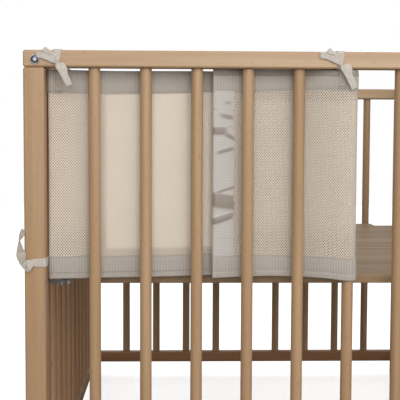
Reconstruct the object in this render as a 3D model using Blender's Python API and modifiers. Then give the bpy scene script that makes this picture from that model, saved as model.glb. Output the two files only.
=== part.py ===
"""A bound net bumper tied inside a wooden playpen, with its end folded back round a spindle.

Units are metres, +Z is up, the front panel faces -Y, and the origin is on the floor
under the middle of the playpen.
"""
import math
from collections import namedtuple

import bmesh
import bpy
from mathutils import Vector

MM = 0.001

# Wooden frame
HEIGHT = 0.7515
POST = 0.032
PANEL_SPACING = 0.987
RAIL_HIGH = 0.0255
LOW_RAIL_HIGH = 0.0265
LOW_RAIL_DEEP = 0.0225
LEG = 0.040
WOOD_EDGE = 0.0022
SPINDLE_RADIUS = 0.009
SPINDLE_SIDES = 20
SPINDLE_PITCH = 0.078
SPINDLES_FRONT = 9
SPINDLES_SIDE = 11
END_GAP = 0.0647
TENON = 0.006
BASE_BELOW_RAIL = 0.3465
BASE_THICK = 0.013
BASE_INSET_X = 0.014
BASE_INSET_Y = 0.017
BASE_NOTCH_X = 0.0520
BASE_NOTCH_Y = 0.0500

# Steel fittings
BOLT_RADIUS = 0.0066
BOLT_TAPER = 0.0005
BOLT_SIDES = 24
BOLT_PROUD = 0.0020
BOLT_FROM_END = 0.0182
BOLT_BELOW_TOP = 0.0143
SOCKET_RADIUS = 0.0036
SOCKET_DEEP = 0.0013
SOCKET_SIDES = 6
BRACKET_THICK = 0.0020
BRACKET_DROP = 0.026
BRACKET_WIDE = 0.022
LIP_DROP = 0.0060
LIP_LONG = 0.0045
NUT_RADIUS = 0.0057
NUT_HIGH = 0.005
NUT_SIDES = 12

# Outline of a bracket's plate, in mm: in from the side panel's inner face, and back from the
# middle of the front or far panel; then the middles of its nut and of its turned-down lip.
Spot = namedtuple("Spot", "inwards back")
BRACKET_OUTLINE = (
    Spot(-14.0, 16.3),
    Spot(-4.0, 16.3),
    Spot(-2.3, 34.0),
    Spot(21.2, 73.0),
    Spot(29.7, 84.0),
    Spot(29.7, 100.0),
    Spot(-2.3, 100.0),
    Spot(-2.3, 60.0),
    Spot(-14.0, 40.0),
)
NUT_AT = Spot(14.0, 70.0)
LIP_AT = Spot(24.5, 81.5)

# Bumper cloth
BUMPER_LENGTH = 1.800
NET_THICK = 0.0018
BINDING_THICK = 0.0010
TOP_BINDING_HIGH = 0.0325
LOW_BINDING_HIGH = 0.0340
END_STRIP_WIDE = 0.0346
END_STRIP_ROWS = 16
STRIP_PUCKER = 0.0011
PUCKER_WAVES = ((1.0, 1.90, 1.0), (0.7, 0.83, 2.1))
CLOTH_STEP = 0.030
SIDE_LINE = -0.3815
CORNER_RADIUS = 0.005
CORNER_STEPS = 5
FRONT_LINE = 0.0085
FAR_LINE = PANEL_SPACING - FRONT_LINE
FOLD_SPINDLE = 5
FOLD_RADIUS = 0.0116
FOLD_START = 90.0
FOLD_END = -110.0
FOLD_STEPS = 14
NEAREST_STOPS = 0.0005

# Ribbon ties
TIE_THICK = 0.0010
TIE_WIDE = 0.0122
SEWN_WIDE = 0.0094
KNOT_SIZE = (0.0066, 0.0032, 0.0056)
KNOT_SIDES = (12, 8)
LOOP_CORNER = 0.0022

GAP = 0.0003

INNER_X = 2 * END_GAP + (SPINDLES_FRONT - 1) * SPINDLE_PITCH + 2 * SPINDLE_RADIUS
OUTER_X = INNER_X + 2 * POST
INNER_Y = PANEL_SPACING - POST
FRONT_Y = -PANEL_SPACING / 2
SIDE_X = INNER_X / 2 + POST / 2
RAIL_LOW = HEIGHT - RAIL_HIGH
LOW_RAIL_TOP = LEG + LOW_RAIL_HIGH
BINDING_OFFSET = NET_THICK / 2 + GAP + BINDING_THICK / 2
RIBBON_OFFSET = BINDING_OFFSET + BINDING_THICK / 2 + GAP + TIE_THICK / 2

# Rows of the bumper's line in plan, in mm: x from the playpen's middle, y inwards from the
# front panel's middle, and how far the cloth's top and low edges lie under the rail's top.
Row = namedtuple("Row", "x y top low")
FAR_ROWS = (
    (-262.0, 974.2, 29.4, 347.6),
    (-312.0, 974.8, 29.2, 348.0),
    (-347.0, 976.8, 29.4, 348.6),
)
SIDE_ROWS = (
    (-383.2, 930.0, 29.5, 348.4),
    (-386.4, 842.0, 30.6, 349.2),
    (-388.2, 742.0, 31.4, 350.2),
    (-386.8, 640.0, 31.0, 349.6),
    (-388.0, 530.0, 31.8, 350.8),
    (-387.2, 420.0, 31.2, 350.4),
    (-388.4, 310.0, 31.6, 350.2),
    (-387.0, 200.0, 30.8, 349.4),
    (-385.6, 110.0, 30.2, 349.0),
    (-382.8, 52.0, 29.8, 348.8),
)
FRONT_ROWS = (
    (-347.0, 10.0, 28.0, 348.6),
    (-312.0, 12.0, 28.5, 348.0),
    (-274.0, 12.8, 28.9, 347.4),
    (-234.0, 13.6, 28.6, 346.8),
    (-196.0, 14.8, 28.3, 346.1),
    (-156.0, 17.2, 27.9, 345.0),
    (-118.0, 20.2, 27.8, 344.8),
    (-78.0, 21.6, 27.7, 345.4),
    (-30.0, 21.8, 27.6, 346.0),
    (18.0, 20.4, 27.2, 347.2),
    (50.0, 16.0, 27.2, 348.4),
)
FLAP_ROWS = (
    (60.0, -8.3, 27.2, 348.2),
    (52.5, -5.8, 27.2, 347.4),
    (40.0, -1.5, 26.0, 346.6),
    (23.0, 5.6, 25.9, 346.4),
    (10.0, 10.6, 25.9, 346.3),
    (-6.0, 12.2, 25.9, 346.0),
    (-38.0, 12.6, 25.9, 345.2),
    (-66.0, 12.2, 25.9, 345.6),
    (-84.0, 11.9, 25.9, 346.3),
    (-98.0, 10.4, 25.9, 346.7),
    (-114.0, 7.0, 26.0, 346.9),
    (-130.4, 3.2, 26.1, 347.2),
)
CORNER_TOP = 28.0
CORNER_LOW = 348.9
FOLD_TOP = 27.2
FOLD_LOW = 349.4

# Free ends of the ties, in mm: x, out from the panel's middle, and down from the rail's top,
# with the turn of the ribbon's width from upright in degrees.
TailRow = namedtuple("TailRow", "x out down turn")
NEAR_TOP_TAILS = (
    (
        (-366.0, 20.4, 19.0, -62.0),
        (-374.0, 19.6, 14.0, -30.0),
        (-384.0, 19.2, 9.6, -8.0),
        (-396.6, 19.8, 7.2, 4.0),
    ),
    (
        (-365.6, 20.6, 21.0, 58.0),
        (-361.0, 21.6, 31.0, 62.0),
        (-355.0, 20.2, 43.0, 64.0),
        (-349.4, 18.4, 53.4, 62.0),
    ),
)
FOLD_TOP_TAILS = (
    (
        (60.0, 20.4, 18.2, -60.0),
        (52.0, 19.6, 12.6, -34.0),
        (42.0, 19.2, 8.0, -14.0),
        (28.8, 19.8, 5.4, 2.0),
    ),
    (
        (60.6, 20.6, 20.0, 54.0),
        (66.0, 21.8, 31.0, 60.0),
        (73.5, 21.0, 43.0, 60.0),
        (81.0, 19.4, 55.0, 56.0),
    ),
)
NEAR_LOW_TAILS = (
    (
        (-411.0, 19.8, 321.0, -40.0),
        (-420.6, 19.2, 315.0, -80.0),
        (-424.2, 18.2, 303.0, -92.0),
        (-425.4, 17.6, 288.0, -102.0),
        (-422.0, 17.8, 271.0, -116.0),
    ),
    (
        (-410.0, 20.4, 322.0, 30.0),
        (-413.0, 21.4, 328.0, 36.0),
        (-411.4, 20.4, 334.4, 70.0),
    ),
)
NEAR_TOP_KNOT = (-366.2, 20.2, 20.0)
FOLD_TOP_KNOT = (60.2, 20.2, 19.0)
NEAR_LOW_KNOT = (-409.6, 19.6, 320.6)
NEAR_LOW_DOWN = 321.2

# Where a ribbon is sewn to the top binding, in mm: the place in plan, the binding's side
# (1 is the playpen's inside), and how far its end lies under the rail's top.
Sewn = namedtuple("Sewn", "x y side deep")
NEAR_TOP_SEWN = Sewn(-367.4, 9.0, -1, 62.5)
FOLD_TOP_SEWN = Sewn(64.8, -9.5, 1, 54.5)
FAR_TOP_SEWN = Sewn(-367.4, 978.0, -1, 62.5)

# A place on the bumper's line, in metres, with the direction across the cloth.
Station = namedtuple("Station", "x y inward_x inward_y top low")


def clear_scene():
    for item in list(bpy.data.objects):
        bpy.data.objects.remove(item, do_unlink=True)


def collection(name):
    made = bpy.data.collections.new(name)
    bpy.context.scene.collection.children.link(made)
    return made


clear_scene()
PARTS = collection("playpen_bumper")
HELPERS = collection("joining_shapes")


def surface(name, colour, roughness, metallic=0.0):
    made = bpy.data.materials.new(name)
    made.use_nodes = True
    shader = made.node_tree.nodes["Principled BSDF"]
    shader.inputs["Base Color"].default_value = (*colour, 1.0)
    shader.inputs["Roughness"].default_value = roughness
    shader.inputs["Metallic"].default_value = metallic
    return made


BEECH = surface("beech", (0.46, 0.28, 0.15), 0.55)
STEEL = surface("zinc_steel", (0.42, 0.44, 0.47), 0.35, 1.0)
NET = surface("beige_net", (0.56, 0.47, 0.38), 0.85)
BINDING = surface("grey_binding", (0.37, 0.33, 0.28), 0.75)
RIBBON = surface("tie_ribbon", (0.50, 0.45, 0.39), 0.70)


def new_object(name, bm, material, where=PARTS, spot=(0.0, 0.0, 0.0)):
    mesh = bpy.data.meshes.new(name)
    bm.to_mesh(mesh)
    bm.free()
    mesh.materials.append(material)
    made = bpy.data.objects.new(name, mesh)
    made.location = spot
    where.objects.link(made)
    if where is HELPERS:
        made.hide_render = True
        made.display_type = "WIRE"
    return made


def box(name, low, high, material, edge=0.0, where=PARTS):
    """A box between two corners, with its arrises taken off."""
    size = [high[i] - low[i] for i in range(3)]
    middle = [(high[i] + low[i]) / 2 for i in range(3)]
    bm = bmesh.new()
    bmesh.ops.create_cube(bm, size=1.0)
    bmesh.ops.scale(bm, vec=size, verts=bm.verts)
    made = new_object(name, bm, material, where, middle)
    if edge:
        bevel = made.modifiers.new("arrises", "BEVEL")
        bevel.width = edge
        bevel.segments = 1
    return made


def rod(name, radius, low, high, x, y, material, sides=SPINDLE_SIDES, where=PARTS):
    """An upright round rod with smooth sides."""
    bm = bmesh.new()
    bmesh.ops.create_cone(
        bm, cap_ends=True, segments=sides, radius1=radius, radius2=radius, depth=high - low
    )
    made = new_object(name, bm, material, where, (x, y, (low + high) / 2))
    made.data.shade_smooth()
    made.data.set_sharp_from_angle(angle=math.radians(40))
    return made


def join(body, other):
    """A Boolean union of a helper shape into a part."""
    union = body.modifiers.new("join_" + other.name, "BOOLEAN")
    union.operation = "UNION"
    union.solver = "EXACT"
    union.object = other


def solidify(made, thick):
    wall = made.modifiers.new("thickness", "SOLIDIFY")
    wall.thickness = thick
    wall.offset = 0.0
    wall.use_even_offset = True


# Wooden playpen
def front_and_far_panels():
    for name, y in (("front", FRONT_Y), ("far", -FRONT_Y)):
        for side, sign in (("left", -1), ("right", 1)):
            x = sign * SIDE_X
            low = (x - POST / 2, y - POST / 2, 0.0)
            high = (x + POST / 2, y + POST / 2, RAIL_LOW - GAP)
            box(f"post_{name}_{side}", low, high, BEECH, WOOD_EDGE)
        low = (-OUTER_X / 2, y - POST / 2, RAIL_LOW)
        high = (OUTER_X / 2, y + POST / 2, HEIGHT)
        box(f"top_rail_{name}", low, high, BEECH, WOOD_EDGE)
        low = (GAP - INNER_X / 2, y - LOW_RAIL_DEEP / 2, LEG)
        high = (INNER_X / 2 - GAP, y + LOW_RAIL_DEEP / 2, LOW_RAIL_TOP)
        box(f"low_rail_{name}", low, high, BEECH, WOOD_EDGE)
        for i in range(SPINDLES_FRONT):
            rod(
                f"spindle_{name}_{i + 1}", SPINDLE_RADIUS, LOW_RAIL_TOP + GAP, RAIL_LOW - GAP,
                spindle_x(i), y, BEECH,
            )


def spindle_x(i):
    return (i - (SPINDLES_FRONT - 1) / 2) * SPINDLE_PITCH


def side_panels():
    """Each side is one glued panel: its two rails and the spindles between them."""
    rail_end = -FRONT_Y - POST / 2 - GAP
    for side, sign in (("left", -1), ("right", 1)):
        x = sign * SIDE_X
        low = (x - POST / 2, -rail_end, RAIL_LOW)
        high = (x + POST / 2, rail_end, HEIGHT)
        panel = box(f"side_panel_{side}", low, high, BEECH, WOOD_EDGE)
        low = (x - LOW_RAIL_DEEP / 2, -rail_end, LEG)
        high = (x + LOW_RAIL_DEEP / 2, rail_end, LOW_RAIL_TOP)
        join(panel, box(f"low_rail_{side}", low, high, BEECH, WOOD_EDGE, HELPERS))
        for i in range(SPINDLES_SIDE):
            y = INNER_Y * ((i + 1) / (SPINDLES_SIDE + 1) - 0.5)
            spindle = rod(
                f"spindle_{side}_{i + 1}", SPINDLE_RADIUS, LOW_RAIL_TOP - TENON,
                RAIL_LOW + TENON, x, y, BEECH, where=HELPERS,
            )
            join(panel, spindle)


def slab(name, outline, low, high, material, edge=0.0):
    """A flat piece of an even thickness, with a given outline in plan."""
    bm = bmesh.new()
    under = [bm.verts.new((x, y, low)) for x, y in outline]
    over = [bm.verts.new((x, y, high)) for x, y in outline]
    bm.faces.new(under)
    bm.faces.new(over)
    for i, corner in enumerate(under):
        bm.faces.new((under[i - 1], corner, over[i], over[i - 1]))
    bmesh.ops.recalc_face_normals(bm, faces=bm.faces)
    made = new_object(name, bm, material)
    if edge:
        bevel = made.modifiers.new("arrises", "BEVEL")
        bevel.width = edge
        bevel.segments = 1
    return made


def base_board():
    """A board with its corners notched, to clear the posts and the brackets' screws."""
    x = INNER_X / 2 - BASE_INSET_X
    y = INNER_Y / 2 - BASE_INSET_Y
    notched_x = x - BASE_NOTCH_X
    notched_y = y - BASE_NOTCH_Y
    outline = []
    for right, back in ((-1, -1), (1, -1), (1, 1), (-1, 1)):
        corner = (
            (right * x, back * notched_y),
            (right * notched_x, back * notched_y),
            (right * notched_x, back * y),
        )
        outline += corner if right == back else corner[::-1]
    top = HEIGHT - BASE_BELOW_RAIL
    slab("base_board", outline, top - BASE_THICK, top, BEECH, WOOD_EDGE / 2)


def base_brackets():
    """Steel plates behind the posts, with a flange on each post, which carry the base board."""
    top = HEIGHT - BASE_BELOW_RAIL - BASE_THICK - GAP
    for name, front in (("front", 1), ("far", -1)):
        for side, sign in (("left", 1), ("right", -1)):

            def plan(inwards, back):
                x = sign * (inwards * MM - INNER_X / 2)
                return (x, front * (FRONT_Y + back * MM))

            outline = [plan(*spot) for spot in BRACKET_OUTLINE]
            bracket = slab(f"bracket_{name}_{side}", outline, top - BRACKET_THICK, top, STEEL)
            left, back = BRACKET_OUTLINE[0]
            near = plan(left, back)
            away = plan(left + BRACKET_WIDE / 2 / MM, back + BRACKET_THICK / MM)
            low = (min(near[0], away[0]), min(near[1], away[1]), top - BRACKET_DROP)
            high = (max(near[0], away[0]), max(near[1], away[1]), top - BRACKET_THICK / 2)
            join(bracket, box(f"flange_{name}_{side}", low, high, STEEL, 0.0, HELPERS))
            x, y = plan(*LIP_AT)
            low = (x - LIP_LONG / 2, y - LIP_LONG / 2, top - BRACKET_THICK - LIP_DROP)
            high = (x + LIP_LONG / 2, y + LIP_LONG / 2, top - BRACKET_THICK / 2)
            join(bracket, box(f"lip_{name}_{side}", low, high, STEEL, 0.0, HELPERS))
            nut = rod(
                f"nut_{name}_{side}", NUT_RADIUS, top - BRACKET_THICK - NUT_HIGH,
                top - BRACKET_THICK / 2, *plan(*NUT_AT), STEEL, NUT_SIDES, HELPERS,
            )
            join(bracket, nut)


def bolts():
    """Socket screws through the ends of the top rails, their heads proud of the faces."""
    for name, out in (("front", -1), ("far", 1)):
        for side, sign in (("left", -1), ("right", 1)):
            x = sign * (OUTER_X / 2 - BOLT_FROM_END)
            face = out * (-FRONT_Y + POST / 2 + GAP)
            bm = bmesh.new()
            bmesh.ops.create_cone(
                bm, cap_ends=True, segments=BOLT_SIDES, radius1=BOLT_RADIUS,
                radius2=BOLT_RADIUS - BOLT_TAPER, depth=BOLT_PROUD,
            )
            centre = (x, face + out * BOLT_PROUD / 2, HEIGHT - BOLT_BELOW_TOP)
            head = new_object(f"bolt_{name}_{side}", bm, STEEL, spot=centre)
            head.rotation_euler = (math.radians(-90 * out), 0.0, 0.0)
            bm = bmesh.new()
            bmesh.ops.create_cone(
                bm, cap_ends=True, segments=SOCKET_SIDES, radius1=SOCKET_RADIUS,
                radius2=SOCKET_RADIUS, depth=2 * SOCKET_DEEP,
            )
            centre = (x, face + out * BOLT_PROUD, HEIGHT - BOLT_BELOW_TOP)
            socket = new_object(f"socket_{name}_{side}", bm, STEEL, HELPERS, centre)
            socket.rotation_euler = head.rotation_euler
            cut = head.modifiers.new("socket", "BOOLEAN")
            cut.operation = "DIFFERENCE"
            cut.solver = "EXACT"
            cut.object = socket


# The line that the bumper follows in plan
def arc(middle, radius, start, end, steps, top, low):
    """Rows on an arc, from one angle to another in degrees."""
    rows = []
    for i in range(steps + 1):
        turn = math.radians(start + (end - start) * i / steps)
        x = middle[0] + radius * math.cos(turn)
        y = middle[1] + radius * math.sin(turn)
        rows.append(Row(x, y, top, low))
    return rows


def mix(a, b, start, end, at):
    share = (at - start) / (end - start)
    return tuple(p + (q - p) * share for p, q in zip(a, b))


def soft_line(rows, step):
    """Rows on a smooth line through the given ones, about a step apart."""
    first = tuple(2 * p - q for p, q in zip(rows[0], rows[1]))
    last = tuple(2 * p - q for p, q in zip(rows[-1], rows[-2]))
    rows = [first, *rows, last]
    knots = [0.0]
    for a, b in zip(rows, rows[1:]):
        knots.append(knots[-1] + math.sqrt(math.dist(a[:2], b[:2])))
    line = []
    for i in range(1, len(rows) - 2):
        a, b, c, d = rows[i - 1 : i + 3]
        t0, t1, t2, t3 = knots[i - 1 : i + 3]
        count = max(1, math.ceil(math.dist(b[:2], c[:2]) / step))
        for k in range(count):
            t = t1 + (t2 - t1) * k / count
            p = mix(a, b, t0, t1, t)
            q = mix(b, c, t1, t2, t)
            r = mix(c, d, t2, t3, t)
            line.append(mix(mix(p, q, t0, t2, t), mix(q, r, t1, t3, t), t1, t2, t))
    line.append(rows[-2])
    return line


def metres(rows):
    return [Row(*(value * MM for value in row)) for row in rows]


def bumper_rows():
    """The whole line from the hidden end on the far panel to the flap's free end."""
    top, low = CORNER_TOP * MM, CORNER_LOW * MM
    far_middle = (SIDE_LINE + CORNER_RADIUS, FAR_LINE - CORNER_RADIUS)
    near_middle = (SIDE_LINE + CORNER_RADIUS, FRONT_LINE + CORNER_RADIUS)
    fold_middle = (spindle_x(FOLD_SPINDLE), 0.0)
    rows = metres(FAR_ROWS)
    rows += arc(far_middle, CORNER_RADIUS, 90, 180, CORNER_STEPS, top, low)
    rows += metres(SIDE_ROWS)
    rows += arc(near_middle, CORNER_RADIUS, 180, 270, CORNER_STEPS, top, low)
    rows += metres(FRONT_ROWS)
    rows += arc(
        fold_middle, FOLD_RADIUS, FOLD_START, FOLD_END, FOLD_STEPS,
        FOLD_TOP * MM, FOLD_LOW * MM,
    )
    rows += metres(FLAP_ROWS)
    return rows


class Line:
    """The bumper's line, read by the distance along it from the hidden end."""

    def __init__(self, rows):
        line = soft_line(rows, CLOTH_STEP)
        spare = BUMPER_LENGTH - sum(math.dist(a[:2], b[:2]) for a, b in zip(line, line[1:]))
        (x0, y0, top, low), (x1, y1, _, _) = line[0], line[1]
        share = spare / math.dist((x0, y0), (x1, y1))
        line.insert(0, (x0 + (x0 - x1) * share, y0 + (y0 - y1) * share, top, low))
        self.rows = line
        self.far = [0.0]
        for a, b in zip(line, line[1:]):
            self.far.append(self.far[-1] + math.dist(a[:2], b[:2]))
        self.turns = [self.inward(i) for i in range(len(line))]

    def inward(self, i):
        """The direction across the cloth, towards the playpen's inside."""
        a = self.rows[max(i - 1, 0)]
        b = self.rows[min(i + 1, len(self.rows) - 1)]
        long = math.dist(a[:2], b[:2])
        return (-(b[1] - a[1]) / long, (b[0] - a[0]) / long)

    def at(self, along):
        """The station there, with y from the front panel's middle."""
        along = min(max(along, 0.0), self.far[-1])
        i = max(k for k in range(len(self.far) - 1) if self.far[k] <= along)
        share = (along - self.far[i]) / (self.far[i + 1] - self.far[i])
        row = Row(*mix(self.rows[i], self.rows[i + 1], 0.0, 1.0, share))
        turn = Vector(mix(self.turns[i], self.turns[i + 1], 0.0, 1.0, share)).normalized()
        return Station(row.x, row.y, turn.x, turn.y, row.top, row.low)

    def stops(self, start, end):
        inner = [s for s in self.far if start + NEAREST_STOPS < s < end - NEAREST_STOPS]
        return [start, *inner, end]

    def nearest(self, x, y):
        """The distance along the line of its point nearest to a place."""
        places = range(int(self.far[-1] / MM))
        return min(places, key=lambda k: math.dist(self.at(k * MM)[:2], (x, y))) * MM


def place(station, across, down):
    """A point at a distance across the cloth and down from the rail's top."""
    x = station.x + station.inward_x * across
    y = FRONT_Y + station.y + station.inward_y * across
    return Vector((x, y, HEIGHT - down))


def loft(name, rows, material, thick, closed=False, where=PARTS):
    """A sheet through rows of points, given its thickness about its middle."""
    bm = bmesh.new()
    verts = [[bm.verts.new(p) for p in row] for row in rows]
    pairs = list(zip(verts, verts[1:]))
    if closed:
        pairs.append((verts[-1], verts[0]))
    for a, b in pairs:
        for i in range(len(a) - 1):
            bm.faces.new((a[i], b[i], b[i + 1], a[i + 1]))
    made = new_object(name, bm, material, where)
    solidify(made, thick)
    return made


# Bumper cloth
def net(line):
    rows = []
    edge = BINDING_THICK + GAP
    for s in line.stops(edge, BUMPER_LENGTH - edge):
        station = line.at(s)
        downs = (station.low - edge, station.top + edge)
        rows.append([place(station, 0.0, down) for down in downs])
    loft("net_panel", rows, NET, NET_THICK)


def bindings(line):
    """Folded bands over the net's top and low edges."""
    half = BINDING_THICK / 2
    for name, high in (("top_binding", TOP_BINDING_HIGH), ("low_binding", -LOW_BINDING_HIGH)):
        rows = []
        for s in line.stops(0.0, BUMPER_LENGTH):
            station = line.at(s)
            outer = station.top if high > 0 else station.low
            edge = outer + math.copysign(half, high)
            inner = outer + high
            rows.append(
                [
                    place(station, -BINDING_OFFSET, inner),
                    place(station, -BINDING_OFFSET, edge),
                    place(station, BINDING_OFFSET, edge),
                    place(station, BINDING_OFFSET, inner),
                ]
            )
        loft(name, rows, BINDING, BINDING_THICK)


def pucker(row, side):
    """How far the end strip's middle stands off the net in one of its rows."""
    wave = sum(high * math.sin(row * turn + side * start) for high, turn, start in PUCKER_WAVES)
    return STRIP_PUCKER * max(0.0, 0.25 + 0.5 * wave)


def end_strips(line):
    """Gathered ribbons folded over the net's two ends, between the bindings."""
    half = BINDING_THICK / 2
    for name, end, back in (
        ("end_strip_flap", BUMPER_LENGTH - half, -1),
        ("end_strip_far", half, 1),
    ):
        across = (
            (end + back * END_STRIP_WIDE, 1, 0.0),
            (end + back * END_STRIP_WIDE * 0.5, 1, 1.0),
            (end, 1, 0.0),
            (end, -1, 0.0),
            (end + back * END_STRIP_WIDE * 0.5, -1, 1.0),
            (end + back * END_STRIP_WIDE, -1, 0.0),
        )
        rows = []
        for i in range(END_STRIP_ROWS + 1):
            row = []
            for s, side, loose in across:
                station = line.at(s)
                top = station.top + TOP_BINDING_HIGH + GAP
                low = station.low - LOW_BINDING_HIGH - GAP
                down = low + (top - low) * i / END_STRIP_ROWS
                off = BINDING_OFFSET + loose * pucker(i, side)
                row.append(place(station, side * off, down))
            rows.append(row)
        loft(name, rows, BINDING, BINDING_THICK)


# Ribbon ties
def loop_round(name, half_wide, half_high, middle, along, wide):
    """A closed ribbon loop round a rectangular bar that runs along X or Z."""
    off = GAP + TIE_THICK / 2
    a, b = half_wide + off, half_high + off
    c, d = a - LOOP_CORNER, b - LOOP_CORNER
    outline = ((-c, -b), (c, -b), (a, -d), (a, d), (c, b), (-c, b), (-a, d), (-a, -d))
    rows = []
    for p, q in outline:
        if along == "X":
            row = [Vector((end * wide / 2, p, q)) + middle for end in (-1, 1)]
        else:
            row = [Vector((p, q, end * wide / 2)) + middle for end in (-1, 1)]
        rows.append(row)
    return loft(name, rows, RIBBON, TIE_THICK, closed=True)


def tail(name, points, panel):
    """A free end: a ribbon along its points, its width turned as each row says."""
    rows = []
    for point in points:
        row = TailRow(*point)
        y = panel * (FRONT_Y - row.out * MM)
        centre = Vector((row.x * MM, y, HEIGHT - row.down * MM))
        turn = math.radians(row.turn)
        half = Vector((math.sin(turn), 0.0, math.cos(turn))) * TIE_WIDE / 2
        rows.append([centre - half, centre + half])
    return loft(name, rows, RIBBON, TIE_THICK, where=HELPERS)


def knot(name, centre, panel):
    bm = bmesh.new()
    around, high = KNOT_SIDES
    bmesh.ops.create_uvsphere(bm, u_segments=around, v_segments=high, radius=1.0)
    bmesh.ops.scale(bm, vec=KNOT_SIZE, verts=bm.verts)
    x, out, down = centre
    spot = (x * MM, panel * (FRONT_Y - out * MM), HEIGHT - down * MM)
    return new_object(name, bm, RIBBON, HELPERS, spot)


def sewn_ribbon(name, line, sewn):
    """The ribbon's flat part on the top binding, up to the loop round the rail."""
    middle = line.nearest(sewn.x * MM, sewn.y * MM)
    downs = (sewn.deep * MM, RAIL_HIGH + GAP + TIE_THICK / 2)
    rows = []
    for step in (-0.5, 0.5):
        station = line.at(middle + step * SEWN_WIDE)
        rows.append([place(station, sewn.side * RIBBON_OFFSET, down) for down in downs])
    return loft(name, rows, RIBBON, TIE_THICK, where=HELPERS)


def rail_tie(name, x, panel, line, sewn, tails, centre):
    """A tie round the top rail, knotted on its outer face."""
    middle = Vector((x, panel * FRONT_Y, HEIGHT - RAIL_HIGH / 2))
    ribbon = loop_round(name, POST / 2, RAIL_HIGH / 2, middle, "X", TIE_WIDE)
    join(ribbon, sewn_ribbon(name + "_sewn", line, sewn))
    join(ribbon, knot(name + "_knot", centre, panel))
    for i, points in enumerate(tails):
        join(ribbon, tail(f"{name}_tail_{i + 1}", points, panel))


def post_tie(name, panel, tails, centre):
    """A tie round the left post at the height of the low binding."""
    middle = Vector((-SIDE_X, panel * FRONT_Y, HEIGHT - NEAR_LOW_DOWN * MM))
    ribbon = loop_round(name, POST / 2, POST / 2, middle, "Z", TIE_WIDE)
    join(ribbon, knot(name + "_knot", centre, panel))
    for i, points in enumerate(tails):
        join(ribbon, tail(f"{name}_tail_{i + 1}", points, panel))


def ties(line):
    for name, knot_at, panel, sewn, tails in (
        ("tie_near_top", NEAR_TOP_KNOT, 1, NEAR_TOP_SEWN, NEAR_TOP_TAILS),
        ("tie_fold_top", FOLD_TOP_KNOT, 1, FOLD_TOP_SEWN, FOLD_TOP_TAILS),
        ("tie_far_top", NEAR_TOP_KNOT, -1, FAR_TOP_SEWN, NEAR_TOP_TAILS),
    ):
        rail_tie(name, knot_at[0] * MM, panel, line, sewn, tails, knot_at)
    post_tie("tie_near_low", 1, NEAR_LOW_TAILS, NEAR_LOW_KNOT)
    post_tie("tie_far_low", -1, NEAR_LOW_TAILS, NEAR_LOW_KNOT)


front_and_far_panels()
side_panels()
base_board()
base_brackets()
bolts()
LINE = Line(bumper_rows())
net(LINE)
bindings(LINE)
end_strips(LINE)
ties(LINE)
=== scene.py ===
"""The dressed playpen bumper: net, ribbed bindings, gathered end strips, ribbon ties, beech and steel.

Units are metres, +Z is up, the front panel faces -Y, and the origin is on the floor
under the middle of the playpen. Tables of the cloth's line and of the ribbons are in mm.
"""
import math
from collections import namedtuple

import bpy
from mathutils import Matrix, Vector


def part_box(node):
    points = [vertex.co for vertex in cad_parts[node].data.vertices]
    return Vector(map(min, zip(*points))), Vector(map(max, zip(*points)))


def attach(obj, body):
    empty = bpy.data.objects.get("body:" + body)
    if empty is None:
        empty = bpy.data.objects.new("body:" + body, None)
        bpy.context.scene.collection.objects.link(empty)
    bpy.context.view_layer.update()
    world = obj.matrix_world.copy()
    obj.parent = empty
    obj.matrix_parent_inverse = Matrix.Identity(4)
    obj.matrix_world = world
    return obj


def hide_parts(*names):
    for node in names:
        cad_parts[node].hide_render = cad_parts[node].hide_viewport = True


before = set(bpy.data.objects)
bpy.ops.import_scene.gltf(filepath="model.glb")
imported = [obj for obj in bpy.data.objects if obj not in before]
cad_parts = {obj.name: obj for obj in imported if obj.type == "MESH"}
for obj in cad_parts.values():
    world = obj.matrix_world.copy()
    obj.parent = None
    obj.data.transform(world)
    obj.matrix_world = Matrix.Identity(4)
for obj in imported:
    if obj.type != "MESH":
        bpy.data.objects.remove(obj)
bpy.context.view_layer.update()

MM = 0.001

# Places read from the frame
RAIL_LOW_CORNER, RAIL_HIGH_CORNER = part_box("top_rail_front")
HEIGHT = RAIL_HIGH_CORNER[2]
RAIL_UNDER = RAIL_LOW_CORNER[2]
FRONT_Y = (RAIL_LOW_CORNER[1] + RAIL_HIGH_CORNER[1]) / 2
RAIL_DEEP = RAIL_HIGH_CORNER[1] - RAIL_LOW_CORNER[1]
PANEL_SPACING = -2 * FRONT_Y
LOW_RAIL_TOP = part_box("low_rail_front")[1][2]

# Bumper cloth, as cut
BUMPER_LENGTH = 1.800
BUMPER_HIGH = 0.3185
NEAR_SIDE_LINE = -383.6
NEAR_CORNER_RADIUS = 3.0
FAR_SIDE_LINE = -381.5
FAR_CORNER_RADIUS = 5.0
CORNER_STEPS = 8
FRONT_LINE = 8.5
FOLD_SPINDLE_X = 78.0
FOLD_RADIUS = 11.6
FOLD_TURN = (90.0, -110.0)
FOLD_STEPS = 16
LINE_STEP = 4.0
TOP_BINDING_HIGH = 0.0325
LOW_BINDING_HIGH = 0.0340
BINDING_OFFSET = 0.0015
BINDING_THICK = 0.0008
END_STRIP_WIDE = 0.0346

# The net: rows of staggered holes in a face knitted over a plain back
HOLE_PITCH_LONG = 0.0040
HOLE_PITCH_HIGH = 0.0046
HOLE_RIM = 0.00052
HOLE_CORNER = 0.00062
CORNER_REACH = 0.0003
CELL_MERGE = 0.00001
TILE_MERGE = 0.00005
NET_FACE_OFFSET = 0.0008
NET_BACK_THICK = 0.0007
NET_PIECES = 4
NET_COLUMN = 0.006
NET_ROW = 0.010
NET_BACK_EDGE = BINDING_THICK + 0.0003

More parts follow.
